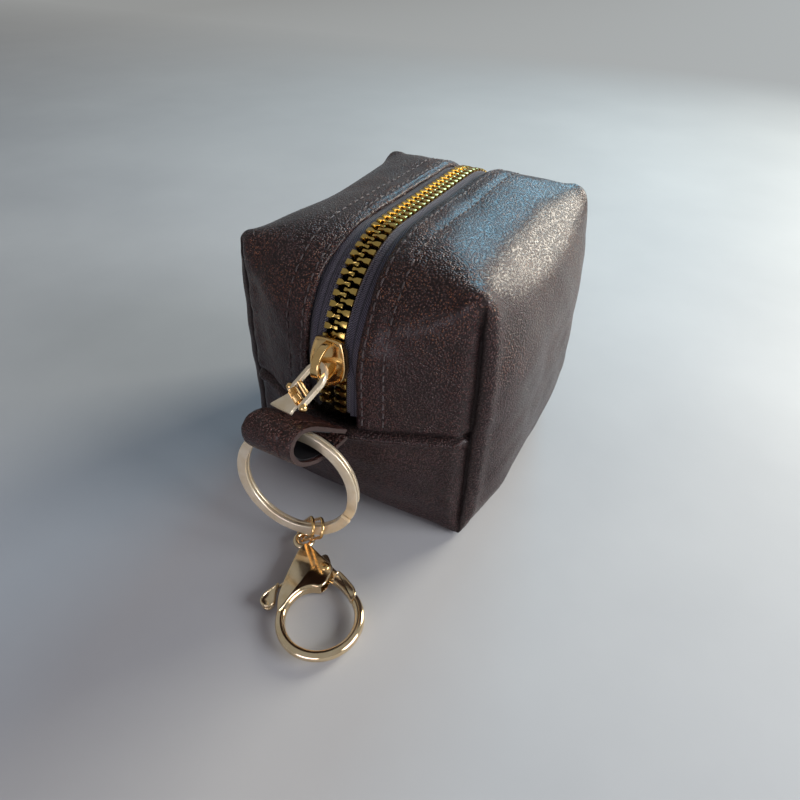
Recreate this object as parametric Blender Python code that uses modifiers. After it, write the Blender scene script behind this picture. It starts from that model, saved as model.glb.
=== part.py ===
"""Boxy zipper pouch with a key ring and a round trigger clasp, as separate solids.

X runs across the pouch, -Y is the end that carries the leather loop, +Z is up.
The origin is the middle of the base, on the surface the pouch stands on. All sizes are in metres.
"""

import math

import bmesh
import bpy
from mathutils import Matrix, Vector

# Pouch body
POUCH_WIDTH = 0.068
POUCH_LENGTH = 0.080
POUCH_HEIGHT = 0.0768
LEATHER = 0.0014
SIDE_BULGE = 0.0075
END_BULGE = 0.0115
TOP_BULGE = 0.0060
SEAM_HEIGHT = 0.038
SHOULDER_RADIUS = 0.031
TOP_EDGE_RADIUS = 0.009
BASE_EDGE_RADIUS = 0.005
SEAM_SINK = 0.0009
SLOT_HALF = 0.0070
CLEARANCE = 0.0003

# Zipper
TAPE = 0.0006
TAPE_OUTER_HALF = 0.0135
TAPE_DROP = 0.0012
TOOTH_PITCH = 0.00254
TOOTH_HEIGHT = 0.0024
TOOTH_REACH = 0.0029
TOOTH_TIP = 0.00055
TOOTH_BASE = 0.0015
TOOTH_HEAD = 0.00088
TOOTH_NECK = 0.00064
BEAD = 0.0005
BEAD_INNER = 0.0015
CHAIN_INSET = 0.0020
CHAIN_RISE = 0.0045
THROAT_SPREAD = 0.00145

# Slider and pull
SLIDER_LENGTH = 0.0124
SLIDER_WIDTH = 0.0102
SLIDER_NECK = 0.0078
SLIDER_PLATE = 0.0009
SLIDER_CHANNEL = 0.0037
SLIDER_WALL = 0.0005
DIAMOND_HALF = 0.0006
SLIDER_RISE = 0.01436
SLIDER_SINK = 0.0003
CROWN_WIDTH = 0.0024
CROWN_LENGTH = 0.0092
CROWN_HEIGHT = 0.0058
CROWN_BAR = 0.0009
PULL_WIDTH = 0.0086
PULL_LENGTH = 0.0112
PULL_BAR = 0.0014
PULL_THICK = 0.0012
PULL_PIN_RADIUS = 0.0006
PULL_PIN_HALF = 0.0046
PADDLE_TOP = 0.0056
PADDLE_BOTTOM = 0.0082
PADDLE_LEFT = 0.0065
PADDLE_RIGHT = 0.0035
PADDLE_THICK = 0.0010
PADDLE_TURN = math.radians(-12)
HUNG_SIDE = 0.0006
HUNG_OUT = 0.0023

# Leather loop. Its root lies on the end seam, and the rings hang from that root.
LOOP_WIDTH = 0.0140
LOOP_THICK = 0.0012
LOOP_LINING = 0.0004
LOOP_REACH = 0.0184
LOOP_STAND = 0.0011
LOOP_SINK = 0.0002
LOOP_SIDE = -0.0015
LOOP_SKEW = 0.0035

# Key ring and jump rings
RING_RADIUS = 0.0170
RING_FLAT = 0.0027
RING_COIL = 0.0010
RING_JOG = math.radians(24)
RING_START = math.radians(-4)
RING_SIDE = -0.0036
RING_OUT = 0.0106
RING_DROP = 0.0122
JUMP_HALF_WIDTH = 0.0025
JUMP_WIRE = 0.00045
JUMP_REACH = 0.0100

# Clasp
CLASP_RING_RADIUS = 0.00985
CLASP_TUBE = 0.00128
CLASP_THICK = 0.0036
CLASP_CHEEK = 0.0006
CLASP_LENGTH = 0.0251
CLASP_LIFT = 0.0007
CLASP_SIDE = 0.0142
CLASP_OUT = 0.0289
EYE_RADIUS = 0.00235
EYE_TUBE = 0.0008
EYE_SIDE = -0.0034
EYE_OUT = 0.0110
EYE_DROP = 0.0378
PIVOT_SIDE = 0.0039
PIVOT_UP = 0.0137
RIVET_RADIUS = 0.0007
RIVET_HEAD = 0.0003
SPRING_WIRE = 0.00013
SPRING_TALL = 0.0010

DONE = bpy.data.collections.new("zipper_pouch_keychain")
GUIDES = bpy.data.collections.new("guides")


def clear_scene():
    """Remove every object that the new file starts with."""
    for item in list(bpy.data.objects):
        bpy.data.objects.remove(item, do_unlink=True)
    bpy.context.scene.collection.children.link(DONE)
    bpy.context.scene.collection.children.link(GUIDES)


def finish(name, colour, roughness, metallic):
    """Return a plain material."""
    material = bpy.data.materials.new(name)
    material.use_nodes = True
    shader = material.node_tree.nodes["Principled BSDF"]
    shader.inputs["Base Color"].default_value = (*colour, 1)
    shader.inputs["Roughness"].default_value = roughness
    shader.inputs["Metallic"].default_value = metallic
    return material


def leather_finish():
    return finish("aubergine_leather", (0.030, 0.017, 0.017), 0.42, 0)


def strap_finish():
    return finish("brown_leather", (0.055, 0.025, 0.018), 0.5, 0)


def strap_lining_finish():
    return finish("black_backing", (0.008, 0.008, 0.009), 0.6, 0)


def tape_finish():
    return finish("navy_tape", (0.018, 0.018, 0.030), 0.8, 0)


def brass_finish():
    return finish("brass", (0.60, 0.42, 0.13), 0.3, 1)


def gold_finish():
    return finish("pale_gold", (0.80, 0.60, 0.34), 0.18, 1)


# Forms

def place(item, material, smooth=False):
    """Give a finished piece its material and its collection."""
    item.data.materials.clear()
    item.data.materials.append(material)
    for face in item.data.polygons:
        face.use_smooth = smooth
    DONE.objects.link(item)
    return item


def mesh_object(name, mesh_data):
    """Make an object from a bmesh, with its faces turned outwards."""
    bmesh.ops.recalc_face_normals(mesh_data, faces=mesh_data.faces)
    data = bpy.data.meshes.new(name)
    mesh_data.to_mesh(data)
    mesh_data.free()
    return bpy.data.objects.new(name, data)


def baked(item):
    """Replace an object's curve or modifiers by its finished, welded mesh."""
    GUIDES.objects.link(item)
    bpy.context.view_layer.update()
    graph = bpy.context.evaluated_depsgraph_get()
    data = bpy.data.meshes.new_from_object(item.evaluated_get(graph))
    work = bmesh.new()
    work.from_mesh(data)
    bmesh.ops.transform(work, matrix=item.matrix_world, verts=work.verts)
    bmesh.ops.remove_doubles(work, verts=work.verts, dist=JUMP_WIRE / 50)
    name = item.name
    bpy.data.objects.remove(item, do_unlink=True)
    return mesh_object(name, work)


def plate(name, outlines, thickness):
    """Extrude closed outlines (a second one inside the first is a hole) about the XY plane."""
    curve = bpy.data.curves.new(name, "CURVE")
    curve.dimensions = "2D"
    curve.fill_mode = "BOTH"
    curve.extrude = thickness / 2
    for outline in outlines:
        spline = curve.splines.new("POLY")
        spline.points.add(len(outline) - 1)
        for point, place_at in zip(spline.points, outline):
            point.co = (place_at[0], place_at[1], 0, 1)
        spline.use_cyclic_u = True
    return baked(bpy.data.objects.new(name, curve))


def rod(name, path, radius, closed=False, ends=3):
    """Sweep a round wire along a path."""
    curve = bpy.data.curves.new(name, "CURVE")
    curve.dimensions = "3D"
    curve.bevel_depth = radius
    curve.bevel_resolution = ends
    curve.use_fill_caps = not closed
    spline = curve.splines.new("POLY")
    spline.points.add(len(path) - 1)
    for point, place_at in zip(spline.points, path):
        point.co = (*place_at, 1)
    spline.use_cyclic_u = closed
    return baked(bpy.data.objects.new(name, curve))


def cylinder(name, radius, height, centre=(0, 0, 0), sides=20, top=None):
    """Make an upright cylinder or cone about a point."""
    work = bmesh.new()
    far = radius if top is None else top
    spot = Matrix.Translation(Vector(centre))
    bmesh.ops.create_cone(
        work, cap_ends=True, segments=sides, radius1=radius, radius2=far, depth=height, matrix=spot
    )
    return mesh_object(name, work)


def box(name, low, high):
    """Make a box between two corners."""
    work = bmesh.new()
    bmesh.ops.create_cube(work, size=1)
    for corner in work.verts:
        for axis in range(3):
            corner.co[axis] = high[axis] if corner.co[axis] > 0 else low[axis]
    return mesh_object(name, work)


def combine(base, others, operation):
    """Join or cut a piece with others, which are then removed."""
    for other in others:
        GUIDES.objects.link(other)
        other.hide_render = True
        other.display_type = "WIRE"
        step = base.modifiers.new(operation.lower(), "BOOLEAN")
        step.operation = operation
        step.solver = "EXACT"
        step.object = other
    result = baked(base)
    for other in others:
        bpy.data.objects.remove(other, do_unlink=True)
    return result


def moved(item, matrix):
    """Carry a piece's mesh to its place, and keep its faces outwards if that mirrors it."""
    item.data.transform(matrix)
    if matrix.determinant() < 0:
        item.data.flip_normals()
    return item


def hinged(item, point, axis):
    """Put the piece's origin on its joint, with local Z along the joint's axis."""
    frame = Matrix.Translation(Vector(point)) @ Vector(axis).to_track_quat("Z", "X").to_matrix().to_4x4()
    item.data.transform(frame.inverted())
    item.matrix_world = frame
    return item


# Soft box

def swell(share, power):
    """Fall from 1 in the middle to 0 at either edge."""
    return max(0.0, 1 - share * share) ** power


def rounded_side(half_length, height, radius, share):
    """Walk up an upright wall and half of the rounding above it."""
    run = share * (height - radius + radius * math.pi / 4)
    if run <= height - radius or radius <= 0:
        return half_length, min(run, height)
    turn = (run - height + radius) / radius
    return half_length - radius + radius * math.cos(turn), height - radius + radius * math.sin(turn)


def rounded_top(half_length, height, radius, share):
    """Walk from the middle of a flat top out to half of the rounding at its edge."""
    run = share * (half_length - radius + radius * math.pi / 4)
    if run <= half_length - radius or radius <= 0:
        return min(run, half_length), height
    turn = (run - half_length + radius) / radius
    return half_length - radius + radius * math.sin(turn), height - radius + radius * math.cos(turn)


def soft_box(u, v, w):
    """Turn a point on the faces of a cube from -1 to 1 into a point on the leather's outside.

    w is 0 at the height of the end seams. The shoulders over the ends are round in the middle
    and sharp at the corners, and each panel swells between its seams.
    """
    fullness = swell(u, 1.4)
    rise = POUCH_HEIGHT - SEAM_HEIGHT + TOP_BULGE * swell(u, 0.9)
    base_half = POUCH_LENGTH / 2
    if w >= 0:
        reach = base_half + END_BULGE * fullness
        shoulder = SHOULDER_RADIUS * swell(u, 1.2)
        edge = TOP_EDGE_RADIUS * swell(v, 0.8)
    else:
        reach = base_half
        rise = SEAM_HEIGHT
        shoulder = BASE_EDGE_RADIUS * swell(u, 0.5)
        edge = BASE_EDGE_RADIUS * swell(v, 0.5)
    on_top = abs(w) >= 1
    on_end = abs(v) >= 1
    if on_end and not on_top:
        along, up = rounded_side(reach, rise, shoulder, abs(w))
    elif on_top:
        along, up = rounded_top(reach, rise, shoulder, abs(v))
    else:
        along, up = reach * abs(v), rise
    half_width = POUCH_WIDTH / 2
    if abs(u) >= 1 and not on_top:
        across, lift = rounded_side(half_width, rise, edge, abs(w))
        up = lift
    elif on_top:
        across, lift = rounded_top(half_width, rise, edge, abs(u))
        up -= rise - lift
    else:
        across = half_width * abs(u)
    if w < 0:
        along += END_BULGE * fullness * (1 - abs(w) ** 2.2) * abs(v) ** 4
    if abs(u) >= 1:
        across += SIDE_BULGE * (1 - v**4) * (1 - w**4)
    x = math.copysign(across, u)
    y = math.copysign(along, v)
    z = SEAM_HEIGHT + math.copysign(up, w)
    return Vector((x, y, z))


def over_top(u, run):
    """Walk over the pouch: -2 and 2 are the two end seams, -1 and 1 the shoulders, 0 the top."""
    if run < -1:
        return soft_box(u, -1, run + 2)
    if run > 1:
        return soft_box(u, 1, 2 - run)
    return soft_box(u, run, 1)


def over_top_normal(u, run):
    """Return the outward direction of the leather there."""
    step = 1 / 200
    across = over_top(u + step, run) - over_top(u - step, run)
    along = over_top(u, min(run + step, 2)) - over_top(u, max(run - step, -2))
    return across.cross(along).normalized()


def spaced(table, value):
    """Read a table of shares from 0 to 1 at a grid line, keeping the value's sign."""
    steps = len(table) - 1
    return math.copysign(table[round(abs(value) * steps)], value)


ACROSS_SHARES = (0, 0.105, 2 * SLOT_HALF / POUCH_WIDTH, 0.46, 0.74, 0.93, 1)
ALONG_SHARES = (0, 0.25, 0.48, 0.69, 0.86, 0.965, 1)
UP_SHARES = (0, 0.05, 0.26, 0.50, 0.74, 0.93, 1)
FACE_SHARE = 0.99


def sink_seam(point, u, v, w):
    """Pull the leather in along the four upright seams and the two level end seams."""
    if abs(v) < 1:
        return point
    if abs(u) >= 1:
        point.x -= math.copysign(SEAM_SINK, u)
        point.y -= math.copysign(SEAM_SINK, v)
    elif w == 0 and abs(u) > ACROSS_SHARES[2]:
        point.y -= math.copysign(SEAM_SINK, v)
    return point


def in_zip_slot(centre):
    """Say whether a face of the cube grid lies in the opening for the zipper."""
    on_top = centre.z > FACE_SHARE
    over_seam = abs(centre.y) > FACE_SHARE and centre.z > 0
    return abs(centre.x) < ACROSS_SHARES[2] and (on_top or over_seam)


def build_panel():
    """Leather body: one wrapped panel with a slot for the zipper."""
    work = bmesh.new()
    bmesh.ops.create_cube(work, size=2)
    steps = len(ACROSS_SHARES) - 1
    bmesh.ops.subdivide_edges(work, edges=work.edges[:], cuts=2 * steps - 1, use_grid_fill=True)
    for corner in work.verts:
        u = spaced(ACROSS_SHARES, corner.co.x)
        v = spaced(ALONG_SHARES, corner.co.y)
        w = spaced(UP_SHARES, corner.co.z)
        corner.co = (u, v, w)
    slot = [face for face in work.faces if in_zip_slot(face.calc_center_median())]
    bmesh.ops.delete(work, geom=slot, context="FACES")
    for corner in work.verts:
        u, v, w = corner.co
        corner.co = sink_seam(soft_box(u, v, w), u, v, w)
    item = mesh_object("main_panel", work)
    wall = item.modifiers.new("wall", "SOLIDIFY")
    wall.thickness = LEATHER
    wall.offset = -1
    wall.use_even_offset = True
    return place(baked(item), leather_finish(), True)


# Zipper chain

CHAIN_START = SEAM_HEIGHT + CHAIN_RISE
CHAIN_RADIUS = SHOULDER_RADIUS - CHAIN_INSET
CHAIN_HALF = POUCH_LENGTH / 2 + END_BULGE - CHAIN_INSET
CHAIN_TOP = POUCH_HEIGHT + TOP_BULGE - CHAIN_INSET
TURN_Y = CHAIN_HALF - CHAIN_RADIUS
TURN_Z = CHAIN_TOP - CHAIN_RADIUS
UPRIGHT = TURN_Z - CHAIN_START
BEND = CHAIN_RADIUS * math.pi / 2
CHAIN_LENGTH = 2 * (UPRIGHT + BEND + TURN_Y)


def chain_frame(run):
    """Return point, direction and outward normal on the chain, measured from its front end."""
    mirrored = run > CHAIN_LENGTH / 2
    if mirrored:
        run = CHAIN_LENGTH - run
    if run < UPRIGHT:
        point = Vector((0, -CHAIN_HALF, CHAIN_START + run))
        turn = 0
    elif run < UPRIGHT + BEND:
        turn = (run - UPRIGHT) / CHAIN_RADIUS
        point = Vector((0, -TURN_Y - CHAIN_RADIUS * math.cos(turn), TURN_Z + CHAIN_RADIUS * math.sin(turn)))
    else:
        turn = math.pi / 2
        point = Vector((0, -TURN_Y + run - UPRIGHT - BEND, CHAIN_TOP))
    along = Vector((0, math.sin(turn), math.cos(turn)))
    normal = Vector((0, -math.cos(turn), math.sin(turn)))
    if mirrored:
        point.y = -point.y
        along = Vector((0, along.y, -along.z))
        normal.y = -normal.y
    return point, along, normal


def parting(run):
    """Say how far each row of teeth stands aside below the slider's middle."""
    below = (SLIDER_RISE + SLIDER_LENGTH * 0.12 - run) / (SLIDER_LENGTH * 0.42)
    share = min(max(below, 0), 1)
    easing = share * share * (3 - 2 * share)
    past = min(max((below - 1) / 1.6, 0), 1)
    return THROAT_SPREAD * easing * (1 - 0.35 * past)


def tooth_mesh():
    """One tooth: a block beside the tape's edge, a neck and a head. Its head points to -X."""
    half = TOOTH_HEIGHT / 2
    base_x = TOOTH_REACH * 0.52
    neck_x = TOOTH_REACH * 0.27
    outline = [
        (TOOTH_REACH, half, TOOTH_BASE),
        (TOOTH_REACH, -half, TOOTH_BASE),
        (base_x, -half, TOOTH_BASE),
        (neck_x, -half * 0.92, TOOTH_NECK),
        (-TOOTH_TIP, -half * 0.8, TOOTH_HEAD),
        (-TOOTH_TIP, half * 0.8, TOOTH_HEAD),
        (neck_x, half * 0.92, TOOTH_NECK),
        (base_x, half, TOOTH_BASE),
    ]
    work = bmesh.new()
    low = [work.verts.new((x, -width / 2, up)) for x, up, width in outline]
    face = work.faces.new(low)
    swept = bmesh.ops.extrude_face_region(work, geom=[face])
    raised = [item for item in swept["geom"] if isinstance(item, bmesh.types.BMVert)]
    for corner in raised:
        corner.co.y = -corner.co.y
    bmesh.ops.triangulate(work, faces=work.faces[:])
    bmesh.ops.recalc_face_normals(work, faces=work.faces)
    data = bpy.data.meshes.new("tooth")
    work.to_mesh(data)
    work.free()
    return data


def along_chain(run, side):
    """Return the matrix that carries a tooth to its place: X outwards from the zipper's middle."""
    point, along, normal = chain_frame(run)
    across = Vector((side, 0, 0))
    point = point + across * parting(run)
    return Matrix((
        (across.x, along.x, normal.x, point.x),
        (across.y, along.y, normal.y, point.y),
        (across.z, along.z, normal.z, point.z),
        (0, 0, 0, 1),
    ))


def bead_cord(side):
    """Cord at the tape's edge that the teeth are clamped on, as a strip along the whole chain."""
    work = bmesh.new()
    steps = 84
    half = BEAD / 2
    corners = ((BEAD_INNER, -half), (BEAD_INNER + BEAD, -half), (BEAD_INNER + BEAD, half), (BEAD_INNER, half))
    loops = []
    for step in range(steps + 1):
        run = CHAIN_LENGTH * step / steps
        spot = along_chain(run, side)
        loops.append([work.verts.new(spot @ Vector((x, 0, up))) for x, up in corners])
    for before, after in zip(loops, loops[1:]):
        for index in range(4):
            nearby = (index + 1) % 4
            work.faces.new((before[index], before[nearby], after[nearby], after[index]))
    work.faces.new(loops[0])
    work.faces.new(loops[-1])
    return mesh_object("bead_cord", work)


def build_teeth(name, side):
    """One row of teeth along the whole chain, on the side where X has the given sign."""
    one = tooth_mesh()
    work = bmesh.new()
    first = TOOTH_PITCH / 4 if side > 0 else TOOTH_PITCH * 3 / 4
    count = int((CHAIN_LENGTH - first - TOOTH_BASE / 2) / TOOTH_PITCH) + 1
    for number in range(count):
        start = len(work.verts)
        work.from_mesh(one)
        work.verts.ensure_lookup_table()
        spot = along_chain(first + number * TOOTH_PITCH, side)
        bmesh.ops.transform(work, matrix=spot, verts=work.verts[start:])
    bpy.data.meshes.remove(one)
    row = mesh_object(name, work)
    return place(combine(row, [bead_cord(side)], "UNION"), brass_finish())


def build_tape(name, side):
    """Woven tape: its inner edge runs in the teeth, its outer part lies under the leather."""
    columns = 4
    rows = 46
    inner_edge = TOOTH_REACH + 3 * CLEARANCE
    work = bmesh.new()
    bmesh.ops.create_grid(work, x_segments=columns, y_segments=rows, size=1)
    half_width = POUCH_WIDTH / 2
    lowest = CHAIN_START - CHAIN_RADIUS / 20
    ends = (lowest - SEAM_HEIGHT) / (over_top(0, -1).z - SEAM_HEIGHT)
    for corner in work.verts:
        share = (corner.co.x + 1) / 2
        run = corner.co.y * (2 - ends)
        x = inner_edge + (TAPE_OUTER_HALF - inner_edge) * share
        u = side * x / half_width
        outside = over_top(u, run)
        inset = CHAIN_INSET - TAPE / 2 + TAPE_DROP * share
        point = outside - over_top_normal(u, run) * inset
        near = chain_run_near(point)
        point.x += side * parting(near) * (1 - share) ** 2
        corner.co = point
    item = mesh_object(name, work)
    item = turned_out(item)
    wall = item.modifiers.new("cloth", "SOLIDIFY")
    wall.thickness = TAPE
    wall.offset = -1
    return place(baked(item), tape_finish(), True)


def turned_out(item):
    """Turn an open sheet so that its faces look away from the middle of the pouch."""
    work = bmesh.new()
    work.from_mesh(item.data)
    work.faces.ensure_lookup_table()
    centre = Vector((0, 0, SEAM_HEIGHT))
    inward = sum(1 for face in work.faces if face.normal.dot(face.calc_center_median() - centre) < 0)
    if inward > len(work.faces) / 2:
        bmesh.ops.reverse_faces(work, faces=work.faces)
    work.to_mesh(item.data)
    work.free()
    return item


def chain_run_near(point):
    """Return how far along the chain a point lies, on the front half."""
    if point.y > 0:
        return CHAIN_LENGTH
    if point.z < TURN_Z:
        return point.z - CHAIN_START
    if point.y < -TURN_Y:
        return UPRIGHT + CHAIN_RADIUS * math.atan2(point.z - TURN_Z, -TURN_Y - point.y)
    return UPRIGHT + BEND


# Slider and pull

def slider_frame():
    """Return the matrix of the slider: X across, Y along the chain, Z outwards."""
    point, along, normal = chain_frame(SLIDER_RISE)
    point = point - normal * SLIDER_SINK
    return Matrix((
        (1, along.x, normal.x, point.x),
        (0, along.y, normal.y, point.y),
        (0, along.z, normal.z, point.z),
        (0, 0, 0, 1),
    ))


def smoothed(outline, rounds=2):
    """Round a closed outline by cutting its corners."""
    for _ in range(rounds):
        cut = []
        for start, end in zip(outline, outline[1:] + outline[:1]):
            cut.append((start[0] * 0.75 + end[0] * 0.25, start[1] * 0.75 + end[1] * 0.25))
            cut.append((start[0] * 0.25 + end[0] * 0.75, start[1] * 0.25 + end[1] * 0.75))
        outline = cut
    return outline


def mirrored_outline(half):
    """Close half an outline, listed from bottom to top at +X, with its mirror image."""
    return half + [(-x, y) for x, y in reversed(half)]


def slider_outline(inset):
    """Shield shape of the slider seen from outside, drawn in by the inset."""
    wide = SLIDER_WIDTH / 2 - inset
    neck = SLIDER_NECK / 2 - inset
    end = SLIDER_LENGTH / 2
    return mirrored_outline([
        (wide * 0.25, -end + inset * 0.4),
        (wide * 0.85, -end * 0.66 + inset * 0.3),
        (wide, -end * 0.18),
        (wide * 0.93, end * 0.30),
        (neck, end * 0.78),
        (neck * 0.86, end - inset * 0.3),
    ])


def build_slider():
    """Slider body: two plates joined by a diamond, with low side walls that leave room for the tape."""
    tall = SLIDER_CHANNEL + 2 * SLIDER_PLATE
    body = plate("slider_body", [smoothed(slider_outline(0), 1)], tall)
    wide = SLIDER_WIDTH / 2 - SLIDER_WALL
    neck = SLIDER_NECK / 2 - SLIDER_WALL
    end = SLIDER_LENGTH / 2
    channel = mirrored_outline([
        (wide, -end * 1.3),
        (wide, -end * 0.15),
        (neck, end * 0.5),
        (neck, end * 1.3),
    ])
    diamond = mirrored_outline([
        (DIAMOND_HALF * 0.35, -end * 0.97),
        (DIAMOND_HALF, -end * 0.80),
        (DIAMOND_HALF, -end * 0.58),
        (DIAMOND_HALF * 0.35, -end * 0.36),
    ])
    hollow = plate("channel", [channel, diamond], SLIDER_CHANNEL)
    gap = TAPE + 5 * CLEARANCE
    cutters = [hollow]
    for side in (-1, 1):
        inner = sorted((side * neck * 0.9, side * SLIDER_WIDTH))
        cutters.append(box("tape_gap", (inner[0], -end * 1.3, -gap / 2), (inner[1], end * 1.3, gap / 2)))
    body = combine(body, cutters, "DIFFERENCE")
    return place(hinged(moved(body, slider_frame()), (0, -TURN_Y, TURN_Z), (1, 0, 0)), gold_finish())


def build_crown():
    """Arched bridge on the slider's outer plate, which the pull hangs from."""
    half = CROWN_LENGTH / 2
    top = CROWN_HEIGHT
    outer = [(-half, 0), (-half * 1.02, top * 0.45), (-half * 0.72, top * 0.88), (-half * 0.2, top),
             (half * 0.45, top * 0.86), (half * 0.9, top * 0.42), (half, 0)]
    inner = [(-half + CROWN_BAR, 0), (-half + CROWN_BAR, top * 0.38), (-half * 0.52, top - CROWN_BAR * 1.35),
             (-half * 0.15, top - CROWN_BAR), (half * 0.38, top * 0.86 - CROWN_BAR),
             (half - CROWN_BAR * 1.3, top * 0.25), (half - CROWN_BAR * 1.2, 0)]
    arch = plate("slider_crown", [outer + inner[::-1]], CROWN_WIDTH)
    upright = Matrix(((0, 0, 1, 0), (1, 0, 0, SLIDER_LENGTH * 0.06), (0, 1, 0, 0), (0, 0, 0, 1)))
    seat = SLIDER_CHANNEL / 2 + SLIDER_PLATE + CLEARANCE
    arch = moved(arch, slider_frame() @ Matrix.Translation((0, 0, seat)) @ upright)
    return place(arch, gold_finish())


PULL_AXIS = Vector((-0.42, -0.60, -0.68)).normalized()
PULL_ACROSS = Vector((0.82, -0.57, 0)).normalized()


def pull_frame():
    """Return the matrix of the hanging pull: X across, Y down along it, Z through it."""
    across = (PULL_ACROSS - PULL_AXIS * PULL_ACROSS.dot(PULL_AXIS)).normalized()
    through = across.cross(PULL_AXIS)
    seat = SLIDER_CHANNEL / 2 + SLIDER_PLATE + CLEARANCE
    hung = slider_frame() @ Vector((HUNG_SIDE, 0, seat + HUNG_OUT))
    return Matrix((
        (across.x, PULL_AXIS.x, through.x, hung.x),
        (across.y, PULL_AXIS.y, through.y, hung.y),
        (across.z, PULL_AXIS.z, through.z, hung.z),
        (0, 0, 0, 1),
    ))


def arched(half_width, top, bottom, steps=10):
    """Outline of a D: a round top at -Y and a straight bottom."""
    points = []
    for step in range(steps + 1):
        turn = math.pi * step / steps
        points.append((half_width * math.cos(turn), top + half_width - half_width * math.sin(turn)))
    return points + [(-half_width, bottom), (half_width, bottom)]


def build_pull_link():
    """D-shaped link of the pull, with one cross bar above the pin's bar."""
    half = PULL_WIDTH / 2
    top = -PULL_BAR / 2
    bottom = top + PULL_LENGTH
    inner_half = half - PULL_BAR
    bar_at = bottom - PULL_BAR * 2.45
    outer = arched(half, top, bottom)
    eye = arched(inner_half, top + PULL_BAR, bar_at)
    slot = [(-inner_half, bar_at + PULL_BAR * 0.75), (inner_half, bar_at + PULL_BAR * 0.75),
            (inner_half, bottom + PULL_BAR), (-inner_half, bottom + PULL_BAR)]
    link = plate("pull_link", [outer, eye], PULL_THICK)
    opening = plate("slot", [slot], PULL_THICK * 2)
    pin_hole = cylinder("pin_hole", PULL_PIN_RADIUS + CLEARANCE, PULL_WIDTH * 1.5, sides=12)
    pin_hole = moved(pin_hole, Matrix.Translation((0, pull_pin_run(), 0)) @ Matrix.Rotation(math.pi / 2, 4, "Y"))
    lugs = []
    for side in (-1, 1):
        lug = cylinder("lug", PULL_PIN_RADIUS + CLEARANCE + PULL_BAR * 0.3, PULL_BAR, sides=12)
        spot = Matrix.Translation((side * (half - PULL_BAR / 2), pull_pin_run(), 0))
        lugs.append(moved(lug, spot @ Matrix.Rotation(math.pi / 2, 4, "Y")))
    link = combine(link, [opening], "DIFFERENCE")
    link = combine(link, lugs, "UNION")
    link = combine(link, [pin_hole], "DIFFERENCE")
    frame = pull_frame()
    axis = frame.to_3x3() @ Vector((1, 0, 0))
    return place(hinged(moved(link, frame), frame.translation, axis), gold_finish())


def pull_pin_run():
    """Return how far down the pull its pin lies."""
    return PULL_LENGTH - PULL_BAR * 1.15


def build_pull_pin():
    """Cross pin with a small knob at each end."""
    pin = cylinder("pull_pin", PULL_PIN_RADIUS, 2 * PULL_PIN_HALF, sides=12)
    knobs = []
    for side in (-1, 1):
        knob = cylinder("knob", PULL_PIN_RADIUS * 1.7, PULL_PIN_RADIUS * 1.6, (0, 0, side * PULL_PIN_HALF * 1.08), 12)
        knobs.append(knob)
    pin = combine(pin, knobs, "UNION")
    spot = Matrix.Translation((0, pull_pin_run(), 0)) @ Matrix.Rotation(math.pi / 2, 4, "Y")
    return place(moved(pin, pull_frame() @ spot), gold_finish())


def build_paddle():
    """Flat flared tab with a rolled knuckle around the pin. It lies against the strap of the loop."""
    knuckle = PULL_WIDTH / 2 - PULL_BAR - CLEARANCE
    outer = PULL_PIN_RADIUS + CLEARANCE + PADDLE_THICK * 0.45
    top = outer * 0.6
    shoulder = top + PADDLE_THICK
    half = PADDLE_BOTTOM / 2
    tab = plate("pull_paddle", [[
        (-knuckle, top),
        (-PADDLE_TOP / 2, shoulder),
        (-half * 0.98, PADDLE_LEFT * 0.93),
        (-half * 0.90, PADDLE_LEFT),
        (half * 0.80, PADDLE_RIGHT),
        (half * 0.84, PADDLE_RIGHT * 0.88),
        (PADDLE_TOP / 2, shoulder),
        (knuckle, top),
    ]], PADDLE_THICK)
    turned = Matrix.Rotation(math.pi / 2, 4, "Y")
    roll = moved(cylinder("roll", outer, 2 * knuckle, sides=14), turned)
    hole = moved(cylinder("roll_hole", PULL_PIN_RADIUS + CLEARANCE, 3 * knuckle, sides=12), turned)
    tab = combine(tab, [roll], "UNION")
    tab = combine(tab, [hole], "DIFFERENCE")
    frame = pull_frame() @ Matrix.Translation((0, pull_pin_run(), 0)) @ Matrix.Rotation(PADDLE_TURN, 4, "X")
    axis = frame.to_3x3() @ Vector((1, 0, 0))
    return place(hinged(moved(tab, frame), frame.translation, axis), gold_finish())


# Leather loop

LOOP_ROOT_Y = -(POUCH_LENGTH / 2 + END_BULGE + LOOP_STAND)
LOOP_ROOT_Z = SEAM_HEIGHT - LOOP_SINK
LOOP_SHARES = ((0, 0.0924), (0.1630, 0.2174), (0.4076, 0.4185), (0.6250, 0.5761), (0.8424, 0.6087), (0.9891, 0.4891),
               (1, 0.2717), (0.9022, 0.0707), (0.7337, -0.0543), (0.5163, -0.1250), (0.2446, -0.1304), (0, -0.0924))


def from_root(side, out, down):
    """Place a point given as distances to the right of, away from and below the loop's root."""
    return Vector((side, LOOP_ROOT_Y - out, LOOP_ROOT_Z - down))


def loop_centreline():
    """Smooth line of the folded strap, from the seam out over the top and back underneath."""
    points = [(out * LOOP_REACH, up * LOOP_REACH) for out, up in LOOP_SHARES]
    for _ in range(2):
        cut = [points[0]]
        for start, end in zip(points, points[1:]):
            cut.append((start[0] * 0.75 + end[0] * 0.25, start[1] * 0.75 + end[1] * 0.25))
            cut.append((start[0] * 0.25 + end[0] * 0.75, start[1] * 0.25 + end[1] * 0.75))
        cut.append(points[-1])
        points = cut
    return points


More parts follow.
